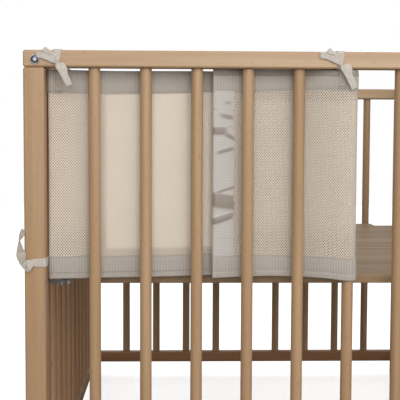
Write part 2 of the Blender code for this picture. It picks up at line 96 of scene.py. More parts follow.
# Rows of the bumper's line in plan: x from the playpen's middle, y inwards from the front
# panel's middle, and how far the cloth's top and low edges lie under the rail's top.
Row = namedtuple("Row", "x y top low")
FAR_ROWS = (
    Row(-263.0, 974.2, 29.4, 347.6),
    Row(-312.0, 974.8, 29.2, 348.0),
    Row(-347.0, 976.8, 29.4, 348.6),
)
SIDE_ROWS = (
    Row(-383.2, 930.0, 29.5, 348.4),
    Row(-386.4, 842.0, 30.6, 349.2),
    Row(-388.2, 742.0, 31.4, 350.2),
    Row(-386.8, 640.0, 31.0, 349.6),
    Row(-388.0, 530.0, 31.8, 350.8),
    Row(-387.2, 420.0, 31.2, 350.4),
    Row(-388.4, 310.0, 31.6, 350.2),
    Row(-387.0, 200.0, 30.8, 349.4),
    Row(-385.6, 110.0, 30.2, 349.0),
    Row(-384.2, 52.0, 29.8, 348.8),
)
FRONT_ROWS = (
    Row(-347.0, 10.0, 28.0, 348.6),
    Row(-312.0, 12.0, 28.5, 348.0),
    Row(-274.0, 12.8, 28.9, 347.4),
    Row(-234.0, 13.6, 28.6, 346.8),
    Row(-196.0, 14.8, 28.3, 346.1),
    Row(-156.0, 17.2, 27.9, 345.0),
    Row(-118.0, 20.2, 27.8, 344.8),
    Row(-78.0, 21.6, 27.7, 345.4),
    Row(-30.0, 21.8, 27.6, 346.0),
    Row(18.0, 20.4, 27.2, 347.2),
    Row(50.0, 16.0, 27.2, 348.4),
)
FLAP_ROWS = (
    Row(60.0, -8.3, 27.2, 348.2),
    Row(52.5, -5.8, 27.2, 347.4),
    Row(40.0, -1.5, 26.0, 346.6),
    Row(23.0, 5.6, 25.6, 346.4),
    Row(10.0, 10.6, 25.6, 346.3),
    Row(-6.0, 12.2, 25.6, 346.0),
    Row(-38.0, 12.6, 25.6, 345.2),
    Row(-66.0, 12.2, 25.6, 345.6),
    Row(-84.0, 11.9, 25.6, 346.3),
    Row(-98.0, 10.4, 25.6, 346.7),
    Row(-114.0, 7.0, 26.0, 346.9),
    Row(-131.4, 3.0, 26.1, 347.2),
)
CORNER_TOP = 28.0
CORNER_LOW = 348.9
FOLD_TOP = 27.2
FOLD_LOW = 349.4


# Small helpers
def mode(name):
    bpy.ops.object.mode_set(mode=name)


def deselect():
    if bpy.context.mode != "OBJECT":
        mode("OBJECT")
    bpy.ops.object.select_all(action="DESELECT")


def take(obj):
    """Makes obj the only selected and the active one."""
    deselect()
    obj.select_set(True)
    bpy.context.view_layer.objects.active = obj
    return obj


def newest(name):
    obj = bpy.context.active_object
    obj.name = name
    obj.data.name = name
    return obj


def apply_place(obj):
    take(obj)
    bpy.ops.object.transform_apply(location=True, rotation=True, scale=True)


def modifier(obj, kind, **settings):
    """Adds a modifier, sets it up and applies it."""
    take(obj)
    bpy.ops.object.modifier_add(type=kind)
    made = obj.modifiers[-1]
    for key, value in settings.items():
        setattr(made, key, value)
    bpy.ops.object.modifier_apply(modifier=made.name)


def array(obj, count, step, **settings):
    modifier(
        obj, "ARRAY", count=count, use_relative_offset=False, use_constant_offset=True,
        constant_offset_displace=step, **settings,
    )


def copied(obj, name):
    """A copy with a mesh of its own."""
    copy = obj.copy()
    copy.data = obj.data.copy()
    copy.name = copy.data.name = name
    bpy.context.scene.collection.objects.link(copy)
    return copy


def select_faces(obj, wanted):
    """In edit mode, selects the faces that pass a test of their centre and normal."""
    bpy.ops.mesh.select_all(action="DESELECT")
    mode("OBJECT")
    for face in obj.data.polygons:
        face.select = wanted(face.center, face.normal)
    mode("EDIT")


def declare(obj, slot, *nodes):
    """Gives a finished piece its body and hides the nodes it stands for; the slot is not used."""
    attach(obj, "root")
    if nodes:
        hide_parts(*nodes)
    return obj


def dress(obj, material, slot, *nodes):
    obj.data.materials.clear()
    obj.data.materials.append(material)
    return declare(obj, slot, *nodes)


# Materials
WHITE = (1.0, 1.0, 1.0, 1.0)
SHEEN_ROUGHNESS = 0.4
COAT_ROUGHNESS = 0.3


class Nodes:
    """A node tree, with short ways to add nodes and to set or link their sockets."""

    def __init__(self, tree):
        self.tree = tree

    def add(self, kind, inputs=(), **settings):
        node = self.tree.nodes.new(kind)
        for key, value in settings.items():
            setattr(node, key, value)
        for key, value in dict(inputs).items():
            self.feed(node.inputs[key], value)
        return node

    def feed(self, socket, value):
        if isinstance(value, bpy.types.NodeSocket):
            self.tree.links.new(value, socket)
        else:
            socket.default_value = value

    def split_rays(self, output, bounced, seen):
        """Shows the camera one shader, and lights the object by another."""
        ray = self.add("ShaderNodeLightPath").outputs["Is Camera Ray"]
        both = self.add("ShaderNodeMixShader", {0: ray, 1: bounced.outputs[0], 2: seen.outputs[0]})
        self.feed(self.tree.nodes[output].inputs["Surface"], both.outputs[0])


class Paint(Nodes):
    """A material's nodes, with the textures and sums that this object needs."""

    def __init__(self, name, roughness, metallic=0.0, sheen=0.0, coat=0.0):
        self.material = bpy.data.materials.new(name)
        self.material.use_nodes = True
        super().__init__(self.material.node_tree)
        self.shader = self.tree.nodes["Principled BSDF"]
        for socket, value in (
            ("Roughness", roughness),
            ("Metallic", metallic),
            ("Sheen Weight", sheen),
            ("Sheen Roughness", SHEEN_ROUGHNESS),
            ("Coat Weight", coat),
            ("Coat Roughness", COAT_ROUGHNESS),
        ):
            self.shader.inputs[socket].default_value = value

    def math(self, operation, a, b=0.0):
        return self.add("ShaderNodeMath", {0: a, 1: b}, operation=operation).outputs[0]

    def times(self, a, b):
        return self.math("MULTIPLY", a, b)

    def blend(self, a, share_a, b, share_b):
        """Two heights added up, each times its share."""
        return self.math("ADD", self.times(a, share_a), self.times(b, share_b))

    def span(self, value, low, high, start=0.0, end=1.0):
        """The value's share of a span, softly kept inside it."""
        inputs = {"Value": value, 1: low, 2: high, 3: start, 4: end}
        made = self.add("ShaderNodeMapRange", inputs, interpolation_type="SMOOTHSTEP")
        return made.outputs["Result"]

    def mix(self, share, a, b):
        a, b = ((*tone, 1.0) if isinstance(tone, tuple) else tone for tone in (a, b))
        return self.add("ShaderNodeMix", {0: share, 6: a, 7: b}, data_type="RGBA").outputs[2]

    def tint(self, colour, tone, value, low, high, share=1.0):
        """The colour, going over to a tone as the value rises through a span."""
        return self.mix(self.span(value, low, high, 0.0, share), colour, tone)

    def place(self, scale):
        """Object coordinates, stretched."""
        source = self.add("ShaderNodeTexCoord").outputs["Object"]
        return self.add("ShaderNodeMapping", {"Vector": source, "Scale": scale}).outputs["Vector"]

    def cloth_place(self):
        """The cloth's own (along, up) in metres, from its UV map."""
        source = self.add("ShaderNodeTexCoord").outputs["UV"]
        return self.add("ShaderNodeSeparateXYZ", {0: source}).outputs[:2]

    def noise(self, vector, detail=2.0, roughness=0.5):
        inputs = {"Vector": vector, "Scale": 1.0, "Detail": detail, "Roughness": roughness}
        return self.add("ShaderNodeTexNoise", inputs).outputs["Fac"]

    def fuzz(self, scale, detail=2.0):
        """Noise that is as fine each way."""
        return self.noise(self.place((scale, scale, scale)), detail)

    def wave(self, value, pitch):
        """A cosine along a length, one turn to a pitch."""
        return self.math("COSINE", self.times(value, 2 * math.pi / pitch))

    def finish(self, colour, height=None, depth=0.0, roughness=None):
        """Sets the colour, and the relief in metres and the roughness where they are given."""
        self.feed(self.shader.inputs["Base Color"], colour)
        if height is not None:
            inputs = {"Height": height, "Strength": 1.0, "Distance": depth}
            normal = self.add("ShaderNodeBump", inputs).outputs["Normal"]
            self.feed(self.shader.inputs["Normal"], normal)
        if roughness is not None:
            self.feed(self.shader.inputs["Roughness"], roughness)
        return self.material


LACQUER = 0.12
GRAIN_DEPTH = 0.00012

# Tones of the beech: its pale and dark bands, its pinker streaks and its ray flecks
Wood = namedtuple("Wood", "light dark pink fleck")
RAIL_BEECH = Wood((0.471, 0.324, 0.194), (0.396, 0.254, 0.139), (0.434, 0.282, 0.172), (0.275, 0.156, 0.077))
POST_BEECH = Wood((0.433, 0.279, 0.152), (0.333, 0.200, 0.099), (0.381, 0.235, 0.132), (0.230, 0.125, 0.055))
SIDE_BEECH = Wood((0.439, 0.258, 0.138), (0.329, 0.181, 0.090), (0.382, 0.214, 0.116), (0.220, 0.110, 0.050))
# The base board's tones: its own yellower board, darkened further as painted shade
BOARD_TONE_AND_SHADE = Wood((0.340, 0.225, 0.110), (0.245, 0.155, 0.072), (0.290, 0.185, 0.095), (0.170, 0.100, 0.045))
# The far low rail's tones: the beech darkened as painted shade beneath the base board
FAR_LOW_SHADED_BEECH = Wood((0.390, 0.200, 0.088), (0.290, 0.140, 0.058), (0.340, 0.165, 0.074), (0.200, 0.090, 0.034))


def beech_finish(paint, stretched, wood):
    """Soft bands and streaks, fine fibres and short ray flecks along the grain."""
    bands = paint.noise(stretched(1.1, 26.0), 3.0, 0.6)
    streaks = paint.noise(stretched(2.3, 74.0))
    fibres = paint.noise(stretched(12.0, 900.0))
    rays = paint.noise(stretched(75.0, 750.0), 1.0)
    colour = paint.tint(wood.light, wood.dark, bands, 0.36, 0.66)
    colour = paint.tint(colour, wood.pink, streaks, 0.46, 0.70, 0.75)
    colour = paint.tint(colour, wood.dark, fibres, 0.35, 0.75, 0.45)
    colour = paint.tint(colour, wood.fleck, rays, 0.64, 0.76, 0.60)
    grain = paint.math("ADD", paint.times(rays, -0.6), fibres)
    gloss = paint.span(bands, 0.3, 0.7, 0.44, 0.56)
    return paint.finish(colour, grain, GRAIN_DEPTH, gloss)


def beech(name, axis, wood):
    """Lacquered beech with its grain along one axis."""
    paint = Paint(name, 0.5, coat=LACQUER)

    def stretched(long, across):
        return paint.place(tuple(long if i == axis else across for i in range(3)))

    return beech_finish(paint, stretched, wood)


def side_panel_beech():
    """Beech on the glued side panels: upright grain in the spindles, level in the rails."""
    paint = Paint("beech_side_panel", 0.5, coat=LACQUER)
    high = paint.add("ShaderNodeSeparateXYZ", {0: paint.place((1.0, 1.0, 1.0))}).outputs[2]
    top_rail = paint.math("GREATER_THAN", high, RAIL_UNDER)
    low_rail = paint.math("LESS_THAN", high, LOW_RAIL_TOP)
    level = paint.math("MAXIMUM", top_rail, low_rail)
    # The far low rail's beech is darkened as painted shade beneath the base board

    # The base board's own tone, with painted shade in it
    def stretched(long, across):
        upright = paint.place((across, across, long))
        flat = paint.place((across, long, across))
        made = paint.add("ShaderNodeMix", {0: level, 4: upright, 5: flat}, data_type="VECTOR")
        return made.outputs[1]

    return beech_finish(paint, stretched, SIDE_BEECH)


ZINC_TONES = ((0.44, 0.46, 0.50), (0.26, 0.28, 0.32))
DARK_TONES = ((0.115, 0.135, 0.165), (0.050, 0.062, 0.082))


def zinc(name, tones):
    """Zinc-plated steel with faint brushed marks."""
    paint = Paint(name, 0.35, metallic=1.0)
    marks = paint.noise(paint.place((900.0, 900.0, 120.0)))
    spots = paint.fuzz(180.0, 3.0)
    colour = paint.mix(paint.span(spots, 0.35, 0.7), *tones)
    return paint.finish(colour, marks, 0.00005, paint.span(spots, 0.3, 0.7, 0.28, 0.45))


NET_COLOUR = (0.735, 0.640, 0.538)
NET_SHADE = (0.560, 0.470, 0.385)
NET_REVERSE = (0.640, 0.552, 0.460)
# Painted shade seen through the holes, deeper towards the low edge, and a pale zone of painted light
NET_INSIDE_SHADE = (0.370, 0.298, 0.226)
NET_LOW_INSIDE_SHADE = (0.190, 0.148, 0.110)
NET_LIT = (0.700, 0.635, 0.540)
# Painted shade in the holes of the back's rows
NET_HOLE_SHADE = (0.135, 0.105, 0.078)
NET_LOW = (0.050, 0.095)
NET_TOP = (BUMPER_HIGH - 0.062, BUMPER_HIGH - 0.044)
NET_END = (BUMPER_LENGTH - 0.052, BUMPER_LENGTH - 0.042)
DOTS_MIDDLE = 0.62
NET_FUZZ = 2600.0


def hole_waves(paint):
    """Highest in the middle of each hole of the net's staggered rows, lowest on its knots."""
    along, up = paint.cloth_place()
    return paint.times(paint.wave(along, HOLE_PITCH_LONG), paint.wave(up, HOLE_PITCH_HIGH))


def net_face_material():
    """The knitted face: rounded strands between the holes."""
    paint = Paint("net_face", 0.85, sheen=0.15)
    waves = hole_waves(paint)
    fuzz = paint.fuzz(NET_FUZZ)
    patch = paint.fuzz(9.0)
    colour = paint.tint(NET_COLOUR, NET_SHADE, patch, 0.3, 0.7, 0.25)
    colour = paint.tint(colour, NET_SHADE, fuzz, 0.4, 0.8, 0.3)
    return paint.finish(colour, paint.blend(waves, -1.0, fuzz, 0.3), 0.00025)


def net_hidden_material():
    """The side of the back that shows through the holes: painted shade, deeper towards the low edge, and a
    pale zone of painted light.
    """
    paint = Paint("net_back_painted_shade_and_light", 0.9)
    along, up = paint.cloth_place()
    lit = paint.times(
        paint.span(along, LIT_FROM - LIT_SOFT, LIT_FROM + LIT_SOFT),
        paint.span(along, LIT_TO + LIT_SOFT, LIT_TO - LIT_SOFT),
    )
    lit = paint.times(lit, paint.span(up, LIT_FLOOR - LIT_SOFT, LIT_FLOOR + LIT_SOFT))
    threads = paint.fuzz(1500.0)
    # Painted shade, deeper towards the low edge, with the pale zone of painted light over it
    inside = paint.mix(paint.span(up, *NET_LOW), NET_LOW_INSIDE_SHADE, NET_INSIDE_SHADE)
    inside = paint.tint(inside, NET_LOW_INSIDE_SHADE, threads, 0.3, 0.8, 0.35)
    return paint.finish(paint.mix(lit, inside, NET_LIT))


def net_back_material():
    """The side of the back in the playpen, with the holes of its rows painted as dots of shade, strongest
    near the low and top edges and the end.
    """
    paint = Paint("net_back", 0.85, sheen=0.15)
    waves = hole_waves(paint)
    fuzz = paint.fuzz(NET_FUZZ)
    colour = paint.tint(NET_REVERSE, NET_SHADE, fuzz, 0.4, 0.8, 0.3)
    along, up = paint.cloth_place()
    # The dots' painted shade is strongest near the low and top edges and the flap's end
    painted_dot_strength = paint.math("MAXIMUM", paint.span(up, *NET_LOW, 1.0, DOTS_MIDDLE), paint.span(up, *NET_TOP))
    painted_dot_strength = paint.math("MAXIMUM", painted_dot_strength, paint.span(along, *NET_END))
    dots = paint.times(paint.span(waves, 0.18, 0.50), painted_dot_strength)
    colour = paint.mix(dots, colour, NET_HOLE_SHADE)
    return paint.finish(colour, paint.blend(waves, -1.0, fuzz, 0.3), 0.0005)


BINDING_LIGHT = (0.445, 0.402, 0.358)
BINDING_SHADE = (0.318, 0.282, 0.243)
# The thread's own colour, also used for the rail's painted shadow on the top binding's rim
THREAD_AND_SHADOW_TONE = (0.215, 0.182, 0.150)
RIB_PITCH = 0.0024
STRIP_RIB_PITCH = 0.0023
STITCH_PITCH = 0.0030
EDGE_SEAM = 0.30
INNER_SEAM = 0.60
EDGE_SEAM_IN = 0.0024
INNER_SEAM_IN = 0.0090
# How dark the rail's painted shadow on the top binding's rim is
TOP_RIM_SHADOW = 0.55
RIB_DEPTH = 0.00035


def binding_material(name, seams, rim, rim_shadow):
    """Ribbed band: cross ribs whose hollows take painted shade, lines of stitches, and on the top binding the
    rail's shadow painted on the rim between fold and seam.
    """
    paint = Paint(name, 0.7, sheen=0.25)
    along, up = paint.cloth_place()
    ribs = paint.wave(along, RIB_PITCH)
    fuzz = paint.fuzz(1800.0)
    patch = paint.fuzz(14.0)
    # Painted shade in the ribs' hollows
    colour = paint.tint(BINDING_SHADE, BINDING_LIGHT, ribs, -0.9, 0.3)
    colour = paint.tint(colour, BINDING_SHADE, patch, 0.3, 0.75, 0.3)
    dashes = paint.span(paint.wave(along, STITCH_PITCH), -0.9, -0.4)
    stitched = None
    for seam, strength in seams:
        near = paint.math("ABSOLUTE", paint.math("SUBTRACT", up, seam))
        line = paint.times(paint.span(near, 0.0011, 0.0005, 0.0, strength), dashes)
        stitched = line if stitched is None else paint.math("MAXIMUM", stitched, line)
    fold, seam = rim
    # The rail's shadow, painted between the fold and the inner seam
    near_fold = paint.span(up, fold - 0.002, fold + 0.002, 0.0, rim_shadow)
    in_rail_shadow = paint.times(near_fold, paint.span(up, seam + 0.0012, seam - 0.0018))
    colour = paint.mix(in_rail_shadow, colour, THREAD_AND_SHADOW_TONE)
    colour = paint.mix(stitched, colour, THREAD_AND_SHADOW_TONE)
    height = paint.math("SUBTRACT", paint.blend(ribs, 0.5, fuzz, 0.25), stitched)
    return paint.finish(colour, height, RIB_DEPTH)


STRIP_LIGHT = (0.470, 0.440, 0.414)
STRIP_SHADE = (0.250, 0.215, 0.178)


def strip_material():
    """The gathered end ribbon: level ribs, a soft gloss, and painted shade in its folds, along its free edge
    and in its ribs' hollows.
    """
    paint = Paint("gathered_ribbon_painted_shade", 0.45, sheen=0.3)
    up = paint.cloth_place()[1]
    ribs = paint.wave(up, STRIP_RIB_PITCH)
    folds = paint.add("ShaderNodeAttribute", attribute_name="fold").outputs["Fac"]
    fuzz = paint.noise(paint.place((900.0, 900.0, 2600.0)))
    # Painted shade in the folds
    colour = paint.tint(STRIP_LIGHT, STRIP_SHADE, folds, 0.0, 1.0)
    # Painted shade in the ribs' hollows
    colour = paint.mix(paint.span(ribs, -1.0, 1.0, 0.30, 0.0), colour, STRIP_SHADE)
    return paint.finish(colour, paint.blend(ribs, 0.5, fuzz, 0.3), 0.00016)


RIBBON_LIGHT = (0.610, 0.560, 0.500)
RIBBON_SHADE = (0.420, 0.370, 0.310)
# Darker copies of the tape's tones: painted shade on the sewn part and on the low tie's loop
SEWN_LIGHT = (0.430, 0.378, 0.312)
SEWN_SHADE = (0.330, 0.284, 0.228)
LOOP_LIGHT = (0.490, 0.435, 0.365)
LOOP_SHADE = (0.300, 0.250, 0.200)
TAPE_THREAD = 0.0009


def ribbon_material(name, light, shade, stitch=None):
    """Soft woven tape with fine crossing threads, painted shade in their hollows, and a line of stitches
    where it is sewn.
    """
    paint = Paint(name, 0.6, sheen=0.3)
    along, across = paint.cloth_place()
    weave = paint.times(paint.wave(along, TAPE_THREAD), paint.wave(across, TAPE_THREAD))
    patch = paint.fuzz(120.0)
    # Painted shade in the weave's hollows
    colour = paint.mix(paint.span(weave, -0.8, 0.8, 0.35, 0.0), light, shade)
    colour = paint.tint(colour, shade, patch, 0.4, 0.75, 0.45)
    height = weave
    if stitch is not None:
        near = paint.math("ABSOLUTE", paint.math("SUBTRACT", along, stitch))
        sewn = paint.span(near, 0.0011, 0.0005)
        colour = paint.mix(paint.times(sewn, 0.8), colour, THREAD_AND_SHADOW_TONE)
        height = paint.math("SUBTRACT", weave, paint.times(sewn, 3.0))
    return paint.finish(colour, height, 0.00012)


# The line that the bumper follows in plan
def arc(middle, radius, start, end, steps, top, low):
    """Rows on an arc, from one angle to another in degrees."""
    rows = []
    for i in range(steps + 1):
        turn = math.radians(start + (end - start) * i / steps)
        x = middle[0] + radius * math.cos(turn)
        y = middle[1] + radius * math.sin(turn)
        rows.append(Row(x, y, top, low))
    return rows


def distances(points):
    """How far along a line each of its points lies."""
    far = [0.0]
    for a, b in zip(points, points[1:]):
        far.append(far[-1] + math.dist(a, b))
    return far


def mix(a, b, start, end, at):
    share = (at - start) / (end - start)
    return tuple(p + (q - p) * share for p, q in zip(a, b))


def with_ends(rows):
    """The rows with one more past each end, in line with the last two."""
    first = tuple(2 * p - q for p, q in zip(rows[0], rows[1]))
    last = tuple(2 * p - q for p, q in zip(rows[-1], rows[-2]))
    return [first, *rows, last]


def soft_line(rows, step):
    """Rows on a smooth line through the given ones, about a step apart."""
    rows = with_ends(rows)
    knots = [0.0]
    for a, b in zip(rows, rows[1:]):
        knots.append(knots[-1] + math.sqrt(math.dist(a[:2], b[:2])))
    line = []
    for i in range(1, len(rows) - 2):
        a, b, c, d = rows[i - 1 : i + 3]
        t0, t1, t2, t3 = knots[i - 1 : i + 3]
        count = max(1, math.ceil(math.dist(b[:2], c[:2]) / step))
        for k in range(count):
            t = t1 + (t2 - t1) * k / count
            p = mix(a, b, t0, t1, t)
            q = mix(b, c, t1, t2, t)
            r = mix(c, d, t2, t3, t)
            line.append(mix(mix(p, q, t0, t2, t), mix(q, r, t1, t3, t), t1, t2, t))
    line.append(rows[-2])
    return line


def bumper_rows():
    """The whole line, in mm, from the hidden end on the far panel to the flap's free end."""
    far_line = PANEL_SPACING / MM - FRONT_LINE
    far_middle = (FAR_SIDE_LINE + FAR_CORNER_RADIUS, far_line - FAR_CORNER_RADIUS)
    near_middle = (NEAR_SIDE_LINE + NEAR_CORNER_RADIUS, FRONT_LINE + NEAR_CORNER_RADIUS)
    corner = (CORNER_STEPS, CORNER_TOP, CORNER_LOW)
    return [
        *FAR_ROWS,
        *arc(far_middle, FAR_CORNER_RADIUS, 90, 180, *corner),
        *SIDE_ROWS,
        *arc(near_middle, NEAR_CORNER_RADIUS, 180, 270, *corner),
        *FRONT_ROWS,
        *arc((FOLD_SPINDLE_X, 0.0), FOLD_RADIUS, *FOLD_TURN, FOLD_STEPS, FOLD_TOP, FOLD_LOW),
        *FLAP_ROWS,
    ]


Station = namedtuple("Station", "x y inward_x inward_y top low")


class Line:
    """The bumper's line in metres, read by the distance along it from the hidden end."""

    def __init__(self, rows):
        line = [tuple(value * MM for value in row) for row in soft_line(rows, LINE_STEP)]
        spare = BUMPER_LENGTH - distances([row[:2] for row in line])[-1]
        (x0, y0, top, low), (x1, y1, _, _) = line[0], line[1]
        share = spare / math.dist((x0, y0), (x1, y1))
        line.insert(0, (x0 + (x0 - x1) * share, y0 + (y0 - y1) * share, top, low))
        far = distances([row[:2] for row in line])
        self.stations = []
        i = 0
        for k in range(int(round(BUMPER_LENGTH / MM)) + 1):
            along = min(k * MM, far[-1])
            while i < len(far) - 2 and far[i + 1] < along:
                i += 1
            self.stations.append(mix(line[i], line[i + 1], far[i], far[i + 1], along))

    def at(self, along):
        """The station there, with y from the front panel's middle."""
        last = len(self.stations) - 1
        place = min(max(along / MM, 0.0), last - 0.0001)
        i = int(place)
        a, b = self.stations[max(i - 1, 0)], self.stations[min(i + 2, last)]
        long = math.dist(a[:2], b[:2])
        row = mix(self.stations[i], self.stations[i + 1], i, i + 1, place)
        return Station(row[0], row[1], (a[1] - b[1]) / long, (b[0] - a[0]) / long, row[2], row[3])

    def nearest(self, x, y):
        """The distance along the line of its point nearest to a place in mm."""
        spot = (x * MM, y * MM)
        return min(range(len(self.stations)), key=lambda k: math.dist(self.stations[k][:2], spot)) * MM


LINE = Line(bumper_rows())

# Where the net's hidden side takes a pale zone of painted light: from and to along the cloth,
# and the height above the cloth's low edge where that starts.
LIT_FROM, LIT_TO = LINE.nearest(-296.0, 12.0), LINE.nearest(-100.0, 20.0)
LIT_SOFT = 0.004
LIT_FLOOR = 0.044


# The slow waves of the soft cloth: share of the height, and radians to a metre along and up
WANDER = 0.0006
WANDER_WAVES = ((1.0, 23.0, 4.0), (0.6, 61.0, -9.0))


def wander(along, up):
    """How far the soft cloth strays from its line, across it, between the bindings."""
    share = math.sin(math.pi * min(max(up / BUMPER_HIGH, 0.0), 1.0))
    slow = sum(high * math.sin(along * a + up * b) for high, a, b in WANDER_WAVES)
    return WANDER * share * slow


def place(along, up, across):
    """A point of the cloth: along it, up from its low edge, and across it."""
    station = LINE.at(along)
    low, top = HEIGHT - station.low, HEIGHT - station.top
    across += wander(along, up)
    x = station.x + station.inward_x * across
    y = FRONT_Y + station.y + station.inward_y * across
    return Vector((x, y, low + (top - low) * up / BUMPER_HIGH))


def flat_cut(name, long, high, columns, rows):
    """A flat cut of cloth with its corner at the origin and its UV map in metres."""
    deselect()
    bpy.ops.mesh.primitive_grid_add(x_subdivisions=columns, y_subdivisions=rows, size=1.0)
    cut = newest(name)
    cut.scale = (long, high, 1.0)
    cut.location = (long / 2, high / 2, 0.0)
    apply_place(cut)
    return metre_uv(cut)


def metre_uv(cut):
    if not cut.data.uv_layers:
        cut.data.uv_layers.new(name="UVMap")
    places = cut.data.uv_layers.active.data
    for loop in cut.data.loops:
        spot = cut.data.vertices[loop.vertex_index].co
        places[loop.index].uv = (spot.x, spot.y)
    return cut


def hang(cut, where):
    """Takes each point of a flat cut to its place in the hanging cloth."""
    for vertex in cut.data.vertices:
        vertex.co = where(*vertex.co)
    cut.data.update()
    return cut


def soft(share):
    share = min(max(share, 0.0), 1.0)
    return share * share * (3.0 - 2.0 * share)


def smooth(obj, angle=40.0):
    take(obj)
    bpy.ops.object.shade_smooth_by_angle(angle=math.radians(angle))
    return obj


# Net
def net_tile():
    """Two cells of the net, each with its hole, which repeat along and up."""
    deselect()
    bpy.ops.mesh.primitive_circle_add(vertices=4, radius=1.0, fill_type="NGON")
    tile = newest("net_tile")
    tile.scale = (HOLE_PITCH_LONG / 2, HOLE_PITCH_HIGH / 2, 1.0)
    apply_place(tile)
    mode("EDIT")
    bpy.ops.mesh.select_all(action="SELECT")
    bpy.ops.mesh.inset(thickness=HOLE_RIM)
    bpy.ops.mesh.bevel(offset=HOLE_CORNER, segments=1, affect="VERTICES")
    select_faces(tile, lambda centre, normal: centre.length < HOLE_RIM / 4)
    bpy.ops.mesh.delete(type="FACE")
    mode("OBJECT")
    # The bevel's outer points go onto the cell's own corners, which saves faces
    for point in tile.data.vertices:
        for x, y in ((HOLE_PITCH_LONG / 2, 0.0), (0.0, HOLE_PITCH_HIGH / 2)):
            if math.hypot(abs(point.co.x) - x, abs(point.co.y) - y) < CORNER_REACH:
                point.co = (math.copysign(x, point.co.x), math.copysign(y, point.co.y), 0.0)
    mode("EDIT")
    bpy.ops.mesh.select_all(action="SELECT")
    bpy.ops.mesh.remove_doubles(threshold=CELL_MERGE)
    mode("OBJECT")
    array(tile, 2, (HOLE_PITCH_LONG / 2, HOLE_PITCH_HIGH / 2, 0.0))
    return tile


def net_face(tile, index):
    """One length of the knitted face, an array of the tile hung on the bumper's line."""
    face = copied(tile, f"net_face_{index + 1}")
    holes = int(BUMPER_LENGTH / HOLE_PITCH_LONG)
    start, end = (holes * (index + k) // NET_PIECES for k in (0, 1))
    high = int((BUMPER_HIGH - TOP_BINDING_HIGH - LOW_BINDING_HIGH) / HOLE_PITCH_HIGH) + 2
    for count, step in ((end - start, (HOLE_PITCH_LONG, 0, 0)), (high, (0, HOLE_PITCH_HIGH, 0))):
        array(face, count, step, use_merge_vertices=True, merge_threshold=TILE_MERGE)
    lift = HOLE_PITCH_HIGH * int(LOW_BINDING_HIGH / HOLE_PITCH_HIGH)
    face.location = (start * HOLE_PITCH_LONG, lift, 0.0)
    apply_place(face)
    metre_uv(face)
    inside = BUMPER_LENGTH - BINDING_THICK
    hang(face, lambda x, y, z: place(min(max(x, BINDING_THICK), inside), y, -NET_FACE_OFFSET))
    return dress(face, NET_FACE, "beige_net")


def net_back():
    """The net's plain back, the sheet that the rest is knitted and sewn to."""
    edge = NET_BACK_EDGE
    columns, rows = round(BUMPER_LENGTH / NET_COLUMN), round(BUMPER_HIGH / NET_ROW)
    back = flat_cut("net_back", BUMPER_LENGTH - 2 * edge, BUMPER_HIGH - 2 * edge, columns, rows)
    hang(back, lambda x, y, z: place(x + edge, y + edge, 0.0))
    dress(back, NET_BACK_SHADE_AND_LIGHT, "beige_net", "net_panel")
    back.data.materials.append(NET_BACK)
    modifier(
        back, "SOLIDIFY", thickness=NET_BACK_THICK, offset=-1.0, material_offset=1,
        use_even_offset=True,
    )
    return smooth(back)


# Bindings, whose sewn height wanders: places on the line in plan and the height there, in mm
BandRow = namedtuple("BandRow", "x y high")
TOP_BAND = (
    (-368.0, 9.0, 35.0),
    (-332.0, 11.0, 35.6),
    (-283.0, 12.6, 35.4),
    (-256.0, 13.2, 34.6),
    (-206.0, 14.5, 34.4),
    (-180.0, 15.6, 34.0),
    (-137.0, 18.6, 32.6),
    (45.0, -3.1, 29.8),
    (-6.0, 12.2, 31.0),
    (-98.0, 10.4, 34.6),
    (-131.4, 3.0, 35.6),
)
LOW_BAND = (
    (-368.0, 9.0, 34.5),
    (-332.0, 11.0, 35.8),
    (-285.0, 12.6, 34.5),
    (-258.0, 13.1, 35.4),
    (-209.0, 14.4, 34.5),
    (-141.0, 18.3, 34.5),
    (60.0, -8.3, 34.6),
    (23.0, 5.6, 33.2),
    (-38.0, 12.6, 33.7),
    (-98.0, 10.4, 35.0),
    (-131.4, 3.0, 36.0),
)
BAND_FLAT = 0.0105
BAND_STEP = 0.004
BAND_TURNS = 6

# A band's section from its outer edge to the fold, and from the fold to its inner edge: how far
# up a point lies, as a share of the band's height and metres more, and how far it bulges out
Bulge = namedtuple("Bulge", "share more out")
OUTER_SIDE = (
    Bulge(1.0, 0.0, 0.0),
    Bulge(1.0, -0.0012, 0.0002),
    Bulge(1.0, -0.0024, -0.0001),
    Bulge(1.0, -0.0036, 0.0002),
    Bulge(0.7, 0.0, 0.0004),
    Bulge(0.5, 0.0, 0.0004),
    Bulge(0.0, 0.0105, 0.0003),
    Bulge(0.0, 0.0090, 0.0002),
    Bulge(0.0, 0.0060, 0.0),
    Bulge(0.0, 0.0030, 0.0),
)
INNER_SIDE = (
    Bulge(0.0, 0.0030, 0.0),
    Bulge(0.0, 0.0060, 0.0004),
    Bulge(0.0, 0.0083, 0.0005),
    Bulge(0.0, 0.0092, -0.0001),
    Bulge(0.0, 0.0102, 0.0003),
    *OUTER_SIDE[5::-1],
)


def band_heights(rows, even):
    """(along, height) in metres, from the line's start at an even height to its end."""
    rows = [BandRow(*row) for row in rows]
    known = [(LINE.nearest(row.x, row.y), row.high * MM) for row in rows]
    return [(0.0, even), (known[0][0] - 0.1, even), *known, (BUMPER_LENGTH + MM, known[-1][1])]


def height_at(heights, along):
    i = max(k for k in range(len(heights) - 1) if heights[k][0] <= along)
    (start, a), (end, b) = heights[i], heights[i + 1]
    return a + (b - a) * soft((along - start) / (end - start))


def binding_profile(high):
    """Rows (across, up from the fold, distance round) from the outer edge to the inner one."""
    r = BINDING_OFFSET
    turns = [math.pi * i / BAND_TURNS for i in range(BAND_TURNS + 1)]
    rows = [(-r - point.out, high * point.share + point.more) for point in OUTER_SIDE]
    rows += [(-r * math.cos(turn), r * (1.0 - math.sin(turn))) for turn in turns]
    rows += [(r + point.out, high * point.share + point.more) for point in INNER_SIDE]
    return [(across, up, far) for (across, up), far in zip(rows, distances(rows))]


